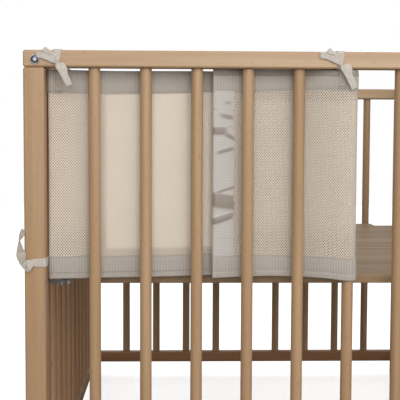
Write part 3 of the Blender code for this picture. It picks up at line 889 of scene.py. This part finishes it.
def binding(name, high, at_top, band_rows):
    """A band folded over one long edge of the net."""
    profile = binding_profile(high)
    heights = band_heights(band_rows, high)
    if not at_top:
        profile = profile[::-1]
    steps = len(profile) - 1
    band = flat_cut(name, BUMPER_LENGTH, float(steps), round(BUMPER_LENGTH / BAND_STEP), steps)
    for spot in band.data.uv_layers.active.data:
        spot.uv = (spot.uv.x, profile[round(spot.uv.y)][2])

    def where(x, y, z):
        across, up, _ = profile[round(y)]
        if up > BAND_FLAT:
            up = BAND_FLAT + (up - BAND_FLAT) * (height_at(heights, x) - BAND_FLAT) / (high - BAND_FLAT)
        return place(x, BUMPER_HIGH - up if at_top else up, across)

    hang(band, where)
    width = max(row[2] for row in profile)
    fold = high if at_top else width - high
    inner_seam = width - high + INNER_SEAM_IN if at_top else high - INNER_SEAM_IN
    edge_seams = ((EDGE_SEAM_IN, EDGE_SEAM), (width - EDGE_SEAM_IN, EDGE_SEAM))
    seams = (*edge_seams, (inner_seam, INNER_SEAM))
    # Only the top binding takes the rail's painted shadow on its rim
    rim_shadow = TOP_RIM_SHADOW if at_top else 0.0
    material = binding_material(name + "_cloth", seams, (fold, inner_seam), rim_shadow)
    dress(band, material, "grey_binding", name)
    modifier(band, "SOLIDIFY", thickness=BINDING_THICK, offset=-1.0)
    return smooth(band, 60.0)


# Folds of the gathered strip: the height of a fold's middle above the cloth's low edge, its
# half height, how far it leans from the net's side to the free end, how far it stands out,
# how much painted shade it takes, and the part of the width that it crosses.
Fold = namedtuple("Fold", "up half lean out dark start end")
FLAP_FOLDS = (
    Fold(268.9, 3.2, -0.8, 0.8, 0.80, 0.35, 1.05),
    Fold(258.5, 2.4, 0.0, 0.4, 0.40, -0.30, 0.45),
    Fold(248.7, 4.4, -3.7, 1.1, 0.85, 0.12, 1.15),
    Fold(231.5, 1.9, 1.5, 0.5, 0.60, 0.50, 1.20),
    Fold(225.6, 7.2, 0.0, 1.5, 1.00, -0.40, 0.85),
    Fold(222.6, 4.4, -8.7, 1.3, 0.90, 0.30, 1.40),
    Fold(195.1, 3.8, 4.2, 1.2, 0.90, 0.00, 1.20),
    Fold(134.8, 3.0, 5.0, 0.8, 0.85, -0.05, 1.30),
    Fold(118.2, 14.0, -2.6, 1.8, 1.00, -0.40, 1.30),
    Fold(92.0, 6.4, 5.0, 1.4, 1.00, -0.40, 1.20),
    Fold(62.0, 3.0, 3.0, 0.4, 0.20, 0.20, 1.10),
)
STRIP_ROWS = 150
STRIP_COLUMNS = 12
STRIP_THICK = 0.0005
STRIP_GAP = 0.0004
STRIP_SHARE = 0.965

# The waves of the strip's uneven edge: share of its width, radians to a metre, start
RAGGED_WAVES = ((0.022, 190.0, 0.0), (0.018, 470.0, 1.0))


def strip_relief(across, up, folds):
    """(how far the strip stands out, how much painted shade it takes) at a share of its width."""
    out, dark = 0.0, 0.0
    for fold in folds:
        middle = fold.up + fold.lean * (across - 0.5) * 2
        near = max(0.0, 1.0 - ((up - middle) / fold.half) ** 2)
        width = soft((across - fold.start) * 2.4) * soft((fold.end - across) * 2.4)
        out = max(out, fold.out * near * width)
        dark = max(dark, fold.dark * soft(near * 1.3) * width)
    # Painted shade along the strip's free edge
    dark = max(dark, 0.6 * (1.0 - across * 14.0))
    return out * MM, dark


def end_strip(name, end, back, folds):
    """A gathered ribbon folded over one end of the net, between the bindings."""
    low, top = LOW_BINDING_HIGH - STRIP_GAP, BUMPER_HIGH - TOP_BINDING_HIGH + STRIP_GAP
    strip = flat_cut(name, 2.0, top - low, 2 * STRIP_COLUMNS, STRIP_ROWS)
    painted_fold_shade = strip.data.attributes.new("fold", "FLOAT", "POINT")

    def where(x, y, z):
        across = abs(x - 1.0)
        side = 1.0 if (x > 1.0) == (back < 0) else -1.0
        out, _ = strip_relief(across, (y + low) / MM, folds)
        rim = BINDING_OFFSET * min(1.0, math.sqrt(across * 18.0))
        ragged = sum(share * math.sin(y * turn + start) for share, turn, start in RAGGED_WAVES)
        along = end + back * END_STRIP_WIDE * across * (STRIP_SHARE + ragged)
        return place(along, y + low, side * (rim + out))

    for vertex in strip.data.vertices:
        x, y, _ = vertex.co
        # The painted shade of the folds, kept on the points
        painted_fold_shade.data[vertex.index].value = strip_relief(abs(x - 1.0), (y + low) / MM, folds)[1]
    hang(strip, where)
    for spot in strip.data.uv_layers.active.data:
        spot.uv = (spot.uv.x * END_STRIP_WIDE, spot.uv.y)
    dress(strip, STRIP, "grey_binding", name)
    modifier(strip, "SOLIDIFY", thickness=STRIP_THICK, offset=0.0)
    return smooth(strip, 80.0)


# Ribbon ties, in mm: the ribbon's two edges, each with its x, how far it stands out from the
# middle of the front panel, and how far down it lies from the rail's top.
Tape = namedtuple("Tape", "x_a out_a down_a x_b out_b down_b")
TAPE_THICK = 0.0006
TAPE_CUP = 0.25
TAPE_EDGE = 0.00016
TAPE_COLUMNS = 8
TAPE_STEPS = 6
PLEATS = 3
TURN_PLEAT = 0.30

# Where a tie's turn lies: out from the panel's middle, and down from the rail's top
TURN_OUT = RAIL_DEEP / MM / 2 + 0.8
TURN_UNDER = (HEIGHT - RAIL_UNDER) / MM + 0.7

NEAR_TOP_LEFT = (
    (-368.6, 18.6, 17.0, -366.6, 18.6, 21.0),
    (-371.8, 18.8, 4.0, -371.0, 18.8, 20.2),
    (-381.0, 18.4, 3.4, -379.5, 18.6, 16.8),
    (-389.5, 17.8, 2.6, -388.2, 18.0, 13.4),
    (-398.6, 17.4, 2.6, -395.2, 17.8, 11.4),
)
NEAR_TOP_CORNER = (
    (-373.6, 19.6, 1.6, -373.4, 19.6, 8.4),
    (-379.0, 19.6, -0.8, -379.0, 19.6, 6.2),
    (-383.2, 18.6, -4.2, -384.2, 19.4, 4.8),
    (-389.0, 18.4, 0.8, -389.4, 18.8, 2.8),
)
NEAR_TOP_RIGHT = (
    (-368.0, 19.4, 21.0, -361.5, 19.4, 18.6),
    (-368.4, 20.6, 25.2, -355.5, 20.4, 20.6),
    (-365.4, 21.2, 30.6, -351.2, 20.2, 27.4),
    (-362.2, 20.8, 36.4, -350.2, 19.6, 34.6),
    (-358.7, 20.0, 42.2, -347.8, 19.0, 41.8),
    (-355.2, 19.2, 49.4, -345.0, 18.4, 49.0),
    (-352.2, 18.6, 54.4, -344.0, 18.0, 51.6),
)
FOLD_TOP_LEFT = (
    (57.0, 18.6, 16.6, 59.2, 18.6, 20.6),
    (54.2, 18.8, 3.8, 55.2, 18.8, 19.2),
    (45.5, 18.6, 2.8, 47.5, 18.6, 15.6),
    (37.5, 18.2, 0.8, 38.0, 18.2, 11.8),
    (29.0, 17.8, 0.6, 29.2, 17.8, 10.4),
)
FOLD_TOP_CORNER = (
    (52.6, 19.6, 1.0, 52.6, 19.6, 8.0),
    (47.8, 19.6, -0.8, 48.0, 19.6, 5.6),
    (43.4, 18.8, -5.0, 43.2, 19.4, 4.0),
    (37.6, 18.6, 0.6, 37.2, 18.8, 2.2),
)
FOLD_TOP_RIGHT = (
    (59.8, 19.4, 21.2, 66.5, 19.4, 18.2),
    (60.0, 20.8, 26.0, 73.6, 20.6, 18.6),
    (62.4, 21.4, 30.6, 77.2, 20.4, 25.6),
    (66.4, 21.0, 36.8, 77.6, 19.8, 33.4),
    (70.0, 20.2, 43.3, 81.4, 19.2, 41.6),
    (74.6, 19.4, 51.4, 85.4, 18.6, 49.6),
    (77.4, 18.8, 58.0, 86.6, 18.2, 52.8),
)
LOW_LOOP = (
    (-416.6, 18.6, 325.0, -411.4, 18.4, 320.0),
    (-425.0, 19.0, 319.4, -414.6, 19.0, 315.2),
    (-429.0, 18.4, 311.0, -414.6, 18.6, 309.2),
    (-429.2, 17.2, 305.0, -415.8, 17.2, 304.6),
    (-428.2, 17.8, 299.6, -417.8, 17.6, 300.4),
    (-427.0, 17.8, 293.0, -420.6, 17.6, 293.4),
    (-425.6, 17.2, 287.0, -422.8, 18.2, 287.4),
    (-425.4, 17.8, 281.8, -421.4, 17.4, 285.0),
    (-424.4, 17.8, 276.8, -418.8, 17.2, 281.8),
    (-422.6, 17.4, 271.0, -416.6, 17.0, 277.2),
    (-420.0, 17.0, 267.8, -415.8, 16.8, 272.4),
)
LOW_CURL = (
    (-419.4, 19.0, 321.6, -418.6, 19.0, 323.8),
    (-412.0, 20.0, 319.4, -413.0, 20.4, 327.6),
    (-406.0, 20.4, 319.0, -410.6, 20.8, 331.5),
    (-402.6, 19.2, 323.4, -408.6, 19.6, 334.0),
)
LOW_TURN = (
    (-424.0, 18.8, 317.6, -425.6, 18.2, 320.2),
    (-418.4, 19.0, 324.2, -420.8, 18.2, 327.2),
    (-413.4, 19.0, 329.0, -414.8, 18.2, 333.2),
    (-409.4, 18.8, 331.4, -410.4, 18.4, 334.8),
)
KNOT_LOBE = 0.10
KNOT_CREASE = 0.12
KNOT_CLOTH = (0.024, 0.012)
KNOT_RADII = (3.3, 2.6, 3.4)
LOW_KNOT_RADII = (5.4, 2.4, 4.6)
Knot = namedtuple("Knot", "x out down radii")
NEAR_TOP_KNOT = Knot(-366.2, 18.4, 20.2, KNOT_RADII)
FOLD_TOP_KNOT = Knot(60.0, 18.4, 19.2, KNOT_RADII)
LOW_KNOT = Knot(-412.4, 18.0, 320.8, LOW_KNOT_RADII)

# Where a ribbon is sewn on the top binding: its middle in plan in mm, the binding's side (1 is
# the playpen's inside), and how far its end lies under the rail's top.
Sewn = namedtuple("Sewn", "x y side deep")
NEAR_TOP_SEWN = Sewn(-367.4, 9.0, -1, 62.5)
FOLD_TOP_SEWN = Sewn(64.8, -9.5, 1, 54.5)
FAR_TOP_SEWN = Sewn(-367.4, 978.0, -1, 62.5)
SEWN_HALF_WIDE = 0.0047
SEWN_OFFSET = 0.0027
SEWN_STITCH = 0.0022


def by_panel(x, out, down, panel):
    """A place beside the front or far panel, from its mm."""
    return Vector((x * MM, panel * (FRONT_Y - out * MM), HEIGHT - down * MM))


def soft_rows(rows):
    """Rows on a smooth line through a ribbon's listed ones."""
    points = with_ends(rows)
    line = []
    for a, b, c, d in zip(points, points[1:], points[2:], points[3:]):
        for k in range(TAPE_STEPS):
            t = k / TAPE_STEPS
            line.append(tuple(
                q + 0.5 * t * (r - p + t * (2 * p - 5 * q + 4 * r - s + t * (3 * q - p - 3 * r + s)))
                for p, q, r, s in zip(a, b, c, d)
            ))
    line.append(tuple(points[-2]))
    return line


def tape(name, rows, panel, pleat=0.0, material=None):
    """A length of ribbon through its rows, a little cupped or pleated across."""
    line = [Tape(*row) for row in soft_rows(rows)]
    cut = flat_cut(name, len(line) - 1.0, float(TAPE_COLUMNS), len(line) - 1, TAPE_COLUMNS)
    far = distances([[(p + q) / 2 * MM for p, q in zip(row[:3], row[3:])] for row in line])
    wide = max(math.dist(row[:3], row[3:]) for row in line) * MM
    for spot in cut.data.uv_layers.active.data:
        spot.uv = (far[round(spot.uv.x)], spot.uv.y * wide / TAPE_COLUMNS)

    def where(x, y, z):
        row, share = line[round(x)], y / TAPE_COLUMNS
        side, out, down = (p + (q - p) * share for p, q in zip(row[:3], row[3:]))
        out += TAPE_CUP * (1 - (2 * share - 1) ** 2) - pleat * math.cos(2 * math.pi * PLEATS * share)
        return by_panel(side, out, down, panel)

    hang(cut, where)
    cut.data.materials.append(material or RIBBON)
    modifier(cut, "SOLIDIFY", thickness=TAPE_THICK, offset=0.0)
    modifier(cut, "BEVEL", width=TAPE_EDGE, segments=1, limit_method="ANGLE")
    return smooth(cut, 60.0)


def rail_band(x, half_top, half_knot, knot_down):
    """Rows of the tie's turn over the rail: from the knot up its front, and round to it.

    Each row is how far out and how far down it lies, and half the ribbon's width there.
    """
    off, under = TURN_OUT, TURN_UNDER
    turn = (
        (off + 1.2, knot_down, half_knot),
        (off + 0.4, 10.0, (half_top + half_knot) / 2),
        (off, 3.0, half_top),
        (off - 1.6, -0.5, half_top),
        (off - 4.0, -0.9, half_top),
        (4.0 - off, -0.9, half_top),
        (1.6 - off, -0.5, half_top),
        (-off, 3.0, half_top),
        (-off, under - 3.0, half_top),
        (1.6 - off, under - 0.4, half_top),
        (4.0 - off, under, half_top),
        (off - 4.0, under, half_knot + 1.0),
        (off - 1.6, under - 0.4, half_knot),
        (off + 0.4, under - 3.0, half_knot),
        (off + 1.2, knot_down + 0.5, half_knot),
    )
    return [Tape(x - half, out, down, x + half, out, down) for out, down, half in turn]


def post_band():
    """Rows of the tie's turn round the post, drawn together at the knot.

    Each row is its x, how far out it lies, and how far down its two edges lie.
    """
    low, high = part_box("post_front_left")
    left, right = low[0] / MM - 0.8, high[0] / MM + 0.35
    off = TURN_OUT
    turn = (
        (left + 6.0, off + 1.0, 317.6, 324.4),
        (left + 16.0, off + 0.2, 315.0, 326.8),
        (right - 3.0, off, 314.2, 327.6),
        (right - 0.4, off - 1.2, 314.2, 327.6),
        (right, off - 4.0, 314.2, 327.6),
        (right, 4.0 - off, 314.2, 327.6),
        (right - 0.4, 1.2 - off, 314.2, 327.6),
        (right - 3.0, -off, 314.4, 327.4),
        (left + 3.0, -off, 315.0, 327.0),
        (left + 0.4, 1.2 - off, 315.0, 327.0),
        (left, 4.0 - off, 315.0, 327.0),
        (left, off - 4.0, 316.0, 326.0),
        (left + 0.6, off - 1.0, 316.6, 325.4),
        (left + 4.0, off + 0.8, 317.6, 324.4),
    )
    return [Tape(x, out, top, x, out, low_edge) for x, out, top, low_edge in turn]


def knot(name, at, panel):
    """The drawn-up crossing of a ribbon, creased round its middle."""
    deselect()
    bpy.ops.mesh.primitive_uv_sphere_add(segments=24, ring_count=14, radius=1.0)
    lump = newest(name)
    for vertex in lump.data.vertices:
        x, y, z = vertex.co
        lobe = KNOT_LOBE * math.cos(5 * math.atan2(z, x) + 2.5 * y)
        crease = KNOT_CREASE * math.exp(-((x + z) * 4) ** 2)
        vertex.co *= 1.0 + lobe - crease
    for spot in lump.data.uv_layers.active.data:
        spot.uv = (spot.uv.x * KNOT_CLOTH[0], spot.uv.y * KNOT_CLOTH[1])
    lump.scale = tuple(radius * MM for radius in at.radii)
    lump.location = by_panel(at.x, at.out, at.down, panel)
    apply_place(lump)
    lump.data.materials.append(RIBBON)
    return smooth(lump, 60.0)


def sewn_tape(name, sewn):
    """The ribbon's flat part on the top binding, up to the turn under the rail."""
    middle = LINE.nearest(sewn.x, sewn.y)
    long = (sewn.deep - TURN_UNDER) * MM
    cut = flat_cut(name, long, 2 * SEWN_HALF_WIDE, 8, 4)

    def where(x, y, z):
        along = middle + y - SEWN_HALF_WIDE
        spot = place(along, BUMPER_HIGH / 2, sewn.side * SEWN_OFFSET)
        spot.z = HEIGHT - sewn.deep * MM + x
        return spot

    hang(cut, where)
    cut.data.materials.append(RIBBON_SEWN_SHADED)
    modifier(cut, "SOLIDIFY", thickness=TAPE_THICK, offset=0.0)
    return smooth(cut, 60.0)


def tie(name, parts):
    """One tie, joined from its turn, its knot, its free ends and its sewn part."""
    for part in parts[1:]:
        take(parts[0])
        part.select_set(True)
        bpy.ops.object.join()
    made = newest(name + "_ribbon")
    return declare(made, "tie_ribbon", name)


def ties():
    near_tails = (NEAR_TOP_LEFT, NEAR_TOP_CORNER, NEAR_TOP_RIGHT)
    fold_tails = (FOLD_TOP_LEFT, FOLD_TOP_CORNER, FOLD_TOP_RIGHT)
    for name, at, panel, sewn, tails in (
        ("tie_near_top", NEAR_TOP_KNOT, 1, NEAR_TOP_SEWN, near_tails),
        ("tie_fold_top", FOLD_TOP_KNOT, 1, FOLD_TOP_SEWN, fold_tails),
        ("tie_far_top", NEAR_TOP_KNOT, -1, FAR_TOP_SEWN, near_tails),
    ):
        parts = [tape("turn", rail_band(at.x, 6.2, 2.8, at.down), panel, TURN_PLEAT)]
        parts += [tape("tail", rows, panel) for rows in tails]
        parts += [knot("knot", at, panel), sewn_tape("sewn", sewn)]
        tie(name, parts)
    for name, panel in (("tie_near_low", 1), ("tie_far_low", -1)):
        parts = [tape("turn", post_band(), panel, TURN_PLEAT)]
        parts.append(tape("loop", LOW_LOOP, panel, material=RIBBON_LOOP_SHADED))
        parts += [tape("tail", rows, panel) for rows in (LOW_CURL, LOW_TURN)]
        parts.append(knot("knot", LOW_KNOT, panel))
        tie(name, parts)


# Screw heads
HEAD_RADIUS = 0.0066
HEAD_PROUD = 0.0020
HEAD_EDGE = 0.00012
HEAD_MIDDLE = 0.0002

# The head's rings from the rim inwards: how far each is drawn in and lifted, and if it is dark; a ring that
# is not dark takes bright zinc as a painted highlight
Ring = namedtuple("Ring", "inset lift dark")
HEAD_RINGS = (
    Ring(0.0006, 0.0, 0),
    Ring(0.0003, -0.0006, 1),
    Ring(0.0004, 0.0008, 1),
    Ring(0.0012, 0.0004, 1),
    Ring(0.0011, 0.0001, 1),
    Ring(0.0001, -0.0011, 1),
    Ring(0.0004, 0.0, 0),
)


def screw_heads():
    """Socket heads in the rails' ends: a dark crown, with a bright rim and a bright socket floor as painted
    highlights.
    """
    deselect()
    bpy.ops.mesh.primitive_cylinder_add(vertices=36, radius=HEAD_RADIUS, depth=HEAD_PROUD)
    head = newest("screw_head")
    apply_place(head)
    # The bright zinc slot paints highlights on the rim and socket floor; the dark slot is the head's own
    # colour
    for material in (STEEL, STEEL_DARK):
        head.data.materials.append(material)
    mode("EDIT")
    for ring in HEAD_RINGS:
        select_faces(head, lambda at, way: way.z > 0.9 and math.hypot(at.x, at.y) < HEAD_MIDDLE)
        bpy.ops.mesh.inset(thickness=ring.inset, depth=ring.lift)
        head.active_material_index = ring.dark
        bpy.ops.object.material_slot_assign()
    mode("OBJECT")
    modifier(head, "BEVEL", width=HEAD_EDGE, segments=2, limit_method="ANGLE")
    smooth(head, 40.0)
    for name, panel in (("front", 1), ("far", -1)):
        for side in ("left", "right"):
            low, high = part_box(f"bolt_{name}_{side}")
            copy = copied(head, f"screw_head_{name}_{side}")
            copy.rotation_euler = (math.radians(90 * panel), 0.0, 0.0)
            copy.location = [(p + q) / 2 for p, q in zip(low, high)]
            apply_place(copy)
            declare(copy, "zinc_steel", f"bolt_{name}_{side}")
    bpy.data.objects.remove(head)


# Camera, floor and light
CAMERA_PLACE = (-0.1944, -1.9163, 0.6160)
CAMERA_YAW = math.radians(1.747)
CAMERA_PITCH = math.radians(-3.629)
CAMERA_ROLL = math.radians(0.228)
FOCAL_PIXELS = 929.0
PHOTO_PIXELS = 400
SENSOR = 36.0


def camera():
    """The photograph's viewpoint."""
    lens = bpy.data.cameras.new("camera")
    lens.sensor_width = SENSOR
    lens.lens = FOCAL_PIXELS / PHOTO_PIXELS * SENSOR
    made = bpy.data.objects.new("camera", lens)
    bpy.context.scene.collection.objects.link(made)
    forward = Vector((
        math.sin(CAMERA_YAW) * math.cos(CAMERA_PITCH),
        math.cos(CAMERA_YAW) * math.cos(CAMERA_PITCH),
        math.sin(CAMERA_PITCH),
    ))
    level = Vector((math.cos(CAMERA_YAW), -math.sin(CAMERA_YAW), 0.0))
    over = level.cross(forward)
    right = level * math.cos(CAMERA_ROLL) + over * math.sin(CAMERA_ROLL)
    up = right.cross(forward)
    turned = Matrix((right, up, -forward)).transposed().to_4x4()
    made.matrix_world = Matrix.Translation(CAMERA_PLACE) @ turned
    bpy.context.scene.camera = made


Lamp = namedtuple("Lamp", "name spot target size power")
LAMPS = (
    Lamp("key", (0.0, -2.9, 1.70), (0.0, -0.4, 0.45), 2.4, 50.0),
    Lamp("fill", (2.0, -2.5, 1.2), (0.0, -0.3, 0.45), 2.8, 26.0),
)


def area_light(lamp):
    light = bpy.data.lights.new(lamp.name, "AREA")
    light.shape = "SQUARE"
    light.size = lamp.size
    light.energy = lamp.power
    made = bpy.data.objects.new(lamp.name, light)
    made.location = lamp.spot
    way = Vector(lamp.target) - Vector(lamp.spot)
    made.rotation_euler = way.to_track_quat("-Z", "Y").to_euler()
    bpy.context.scene.collection.objects.link(made)


FLOOR_SIZE = 14.0
FLOOR_DROP = 0.0005
FLOOR_GLOW = 0.62
FLOOR_BOUNCE = (0.30, 0.28, 0.26, 1.0)
SKY_HIGH = 0.72
SKY_LOW = 0.54
SKY_RISE = (-0.1, 0.8)


def studio():
    """A pale floor, soft light from above in front, and a white backdrop."""
    deselect()
    bpy.ops.mesh.primitive_plane_add(size=FLOOR_SIZE, location=(0.0, 0.0, -FLOOR_DROP))
    floor = newest("studio_floor")
    apply_place(floor)
    floor.data.materials.append(floor_material())
    backdrop()
    for lamp in LAMPS:
        area_light(lamp)
    bpy.context.scene.view_settings.view_transform = "Standard"


def floor_material():
    """A white floor to the eye that throws little light up."""
    paint = Paint("pale_floor", 0.9)
    paint.shader.inputs["Emission Strength"].default_value = FLOOR_GLOW
    paint.shader.inputs["Emission Color"].default_value = WHITE
    made = paint.finish((0.9, 0.9, 0.9, 1.0))
    quiet = paint.add("ShaderNodeBsdfDiffuse", {"Color": FLOOR_BOUNCE})
    paint.split_rays("Material Output", quiet, paint.shader)
    return made


def backdrop():
    """A white world to the eye, whose light comes mostly from above."""
    world = bpy.data.worlds.new("studio_world")
    world.use_nodes = True
    sky = Nodes(world.node_tree)
    way = sky.add("ShaderNodeTexCoord").outputs["Generated"]
    up = sky.add("ShaderNodeSeparateXYZ", {0: way}).outputs[2]
    span = dict(enumerate((up, *SKY_RISE, SKY_LOW, SKY_HIGH)))
    rise = sky.add("ShaderNodeMapRange", span).outputs[0]
    soft_sky = world.node_tree.nodes["Background"]
    sky.feed(soft_sky.inputs["Color"], WHITE)
    sky.feed(soft_sky.inputs["Strength"], rise)
    white = sky.add("ShaderNodeBackground", {"Color": WHITE, "Strength": 1.0})
    sky.split_rays("World Output", soft_sky, white)
    bpy.context.scene.world = world


# Wood and steel
ARRIS = 0.0009


def dress_playpen():
    """The playpen's own materials, on the solids of the frame."""
    upright = beech("beech_upright", 2, POST_BEECH)
    level = beech("beech_level", 0, RAIL_BEECH)
    low_level = beech("beech_low_level", 0, POST_BEECH)
    far_low = beech("beech_far_low_painted_shade", 0, FAR_LOW_SHADED_BEECH)
    board = beech("beech_board_and_painted_shade", 0, BOARD_TONE_AND_SHADE)
    finishes = (
        (("post", "spindle"), upright),
        (("top_rail",), level),
        (("low_rail_front",), low_level),
        (("low_rail_far",), far_low),
        (("base_board",), board),
        (("side_panel",), side_panel_beech()),
        (("bracket",), STEEL),
    )
    for name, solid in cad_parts.items():
        for starts, material in finishes:
            if not name.startswith(starts):
                continue
            for slot in solid.material_slots:
                slot.material = material
            if material is not STEEL:
                soften_edges(solid)


def soften_edges(solid):
    """Rounds a wooden solid's arrises a little."""
    weld = solid.modifiers.new("weld", "WELD")
    weld.merge_threshold = CELL_MERGE
    arris = solid.modifiers.new("arris", "BEVEL")
    arris.width = ARRIS
    arris.segments = 2
    arris.limit_method = "ANGLE"
    arris.angle_limit = math.radians(30)


STEEL = zinc("zinc_steel", ZINC_TONES)
STEEL_DARK = zinc("dark_steel", DARK_TONES)
NET_FACE = net_face_material()
NET_BACK_SHADE_AND_LIGHT = net_hidden_material()
NET_BACK = net_back_material()
STRIP = strip_material()
RIBBON = ribbon_material("tie_tape", RIBBON_LIGHT, RIBBON_SHADE)
RIBBON_LOOP_SHADED = ribbon_material("tie_tape_loop_painted_shade", LOOP_LIGHT, LOOP_SHADE)
RIBBON_SEWN_SHADED = ribbon_material("tie_tape_sewn_painted_shade", SEWN_LIGHT, SEWN_SHADE, SEWN_STITCH)

camera()
studio()
dress_playpen()
TILE = net_tile()
FACES = [net_face(TILE, i) for i in range(NET_PIECES)]
bpy.data.objects.remove(TILE)
BACK = net_back()
BANDS = [
    binding("top_binding", TOP_BINDING_HIGH, True, TOP_BAND),
    binding("low_binding", LOW_BINDING_HIGH, False, LOW_BAND),
]
STRIPS = [
    end_strip("end_strip_flap", BUMPER_LENGTH, -1, FLAP_FOLDS),
    end_strip("end_strip_far", 0.0, 1, FLAP_FOLDS),
]
ties()
screw_heads()
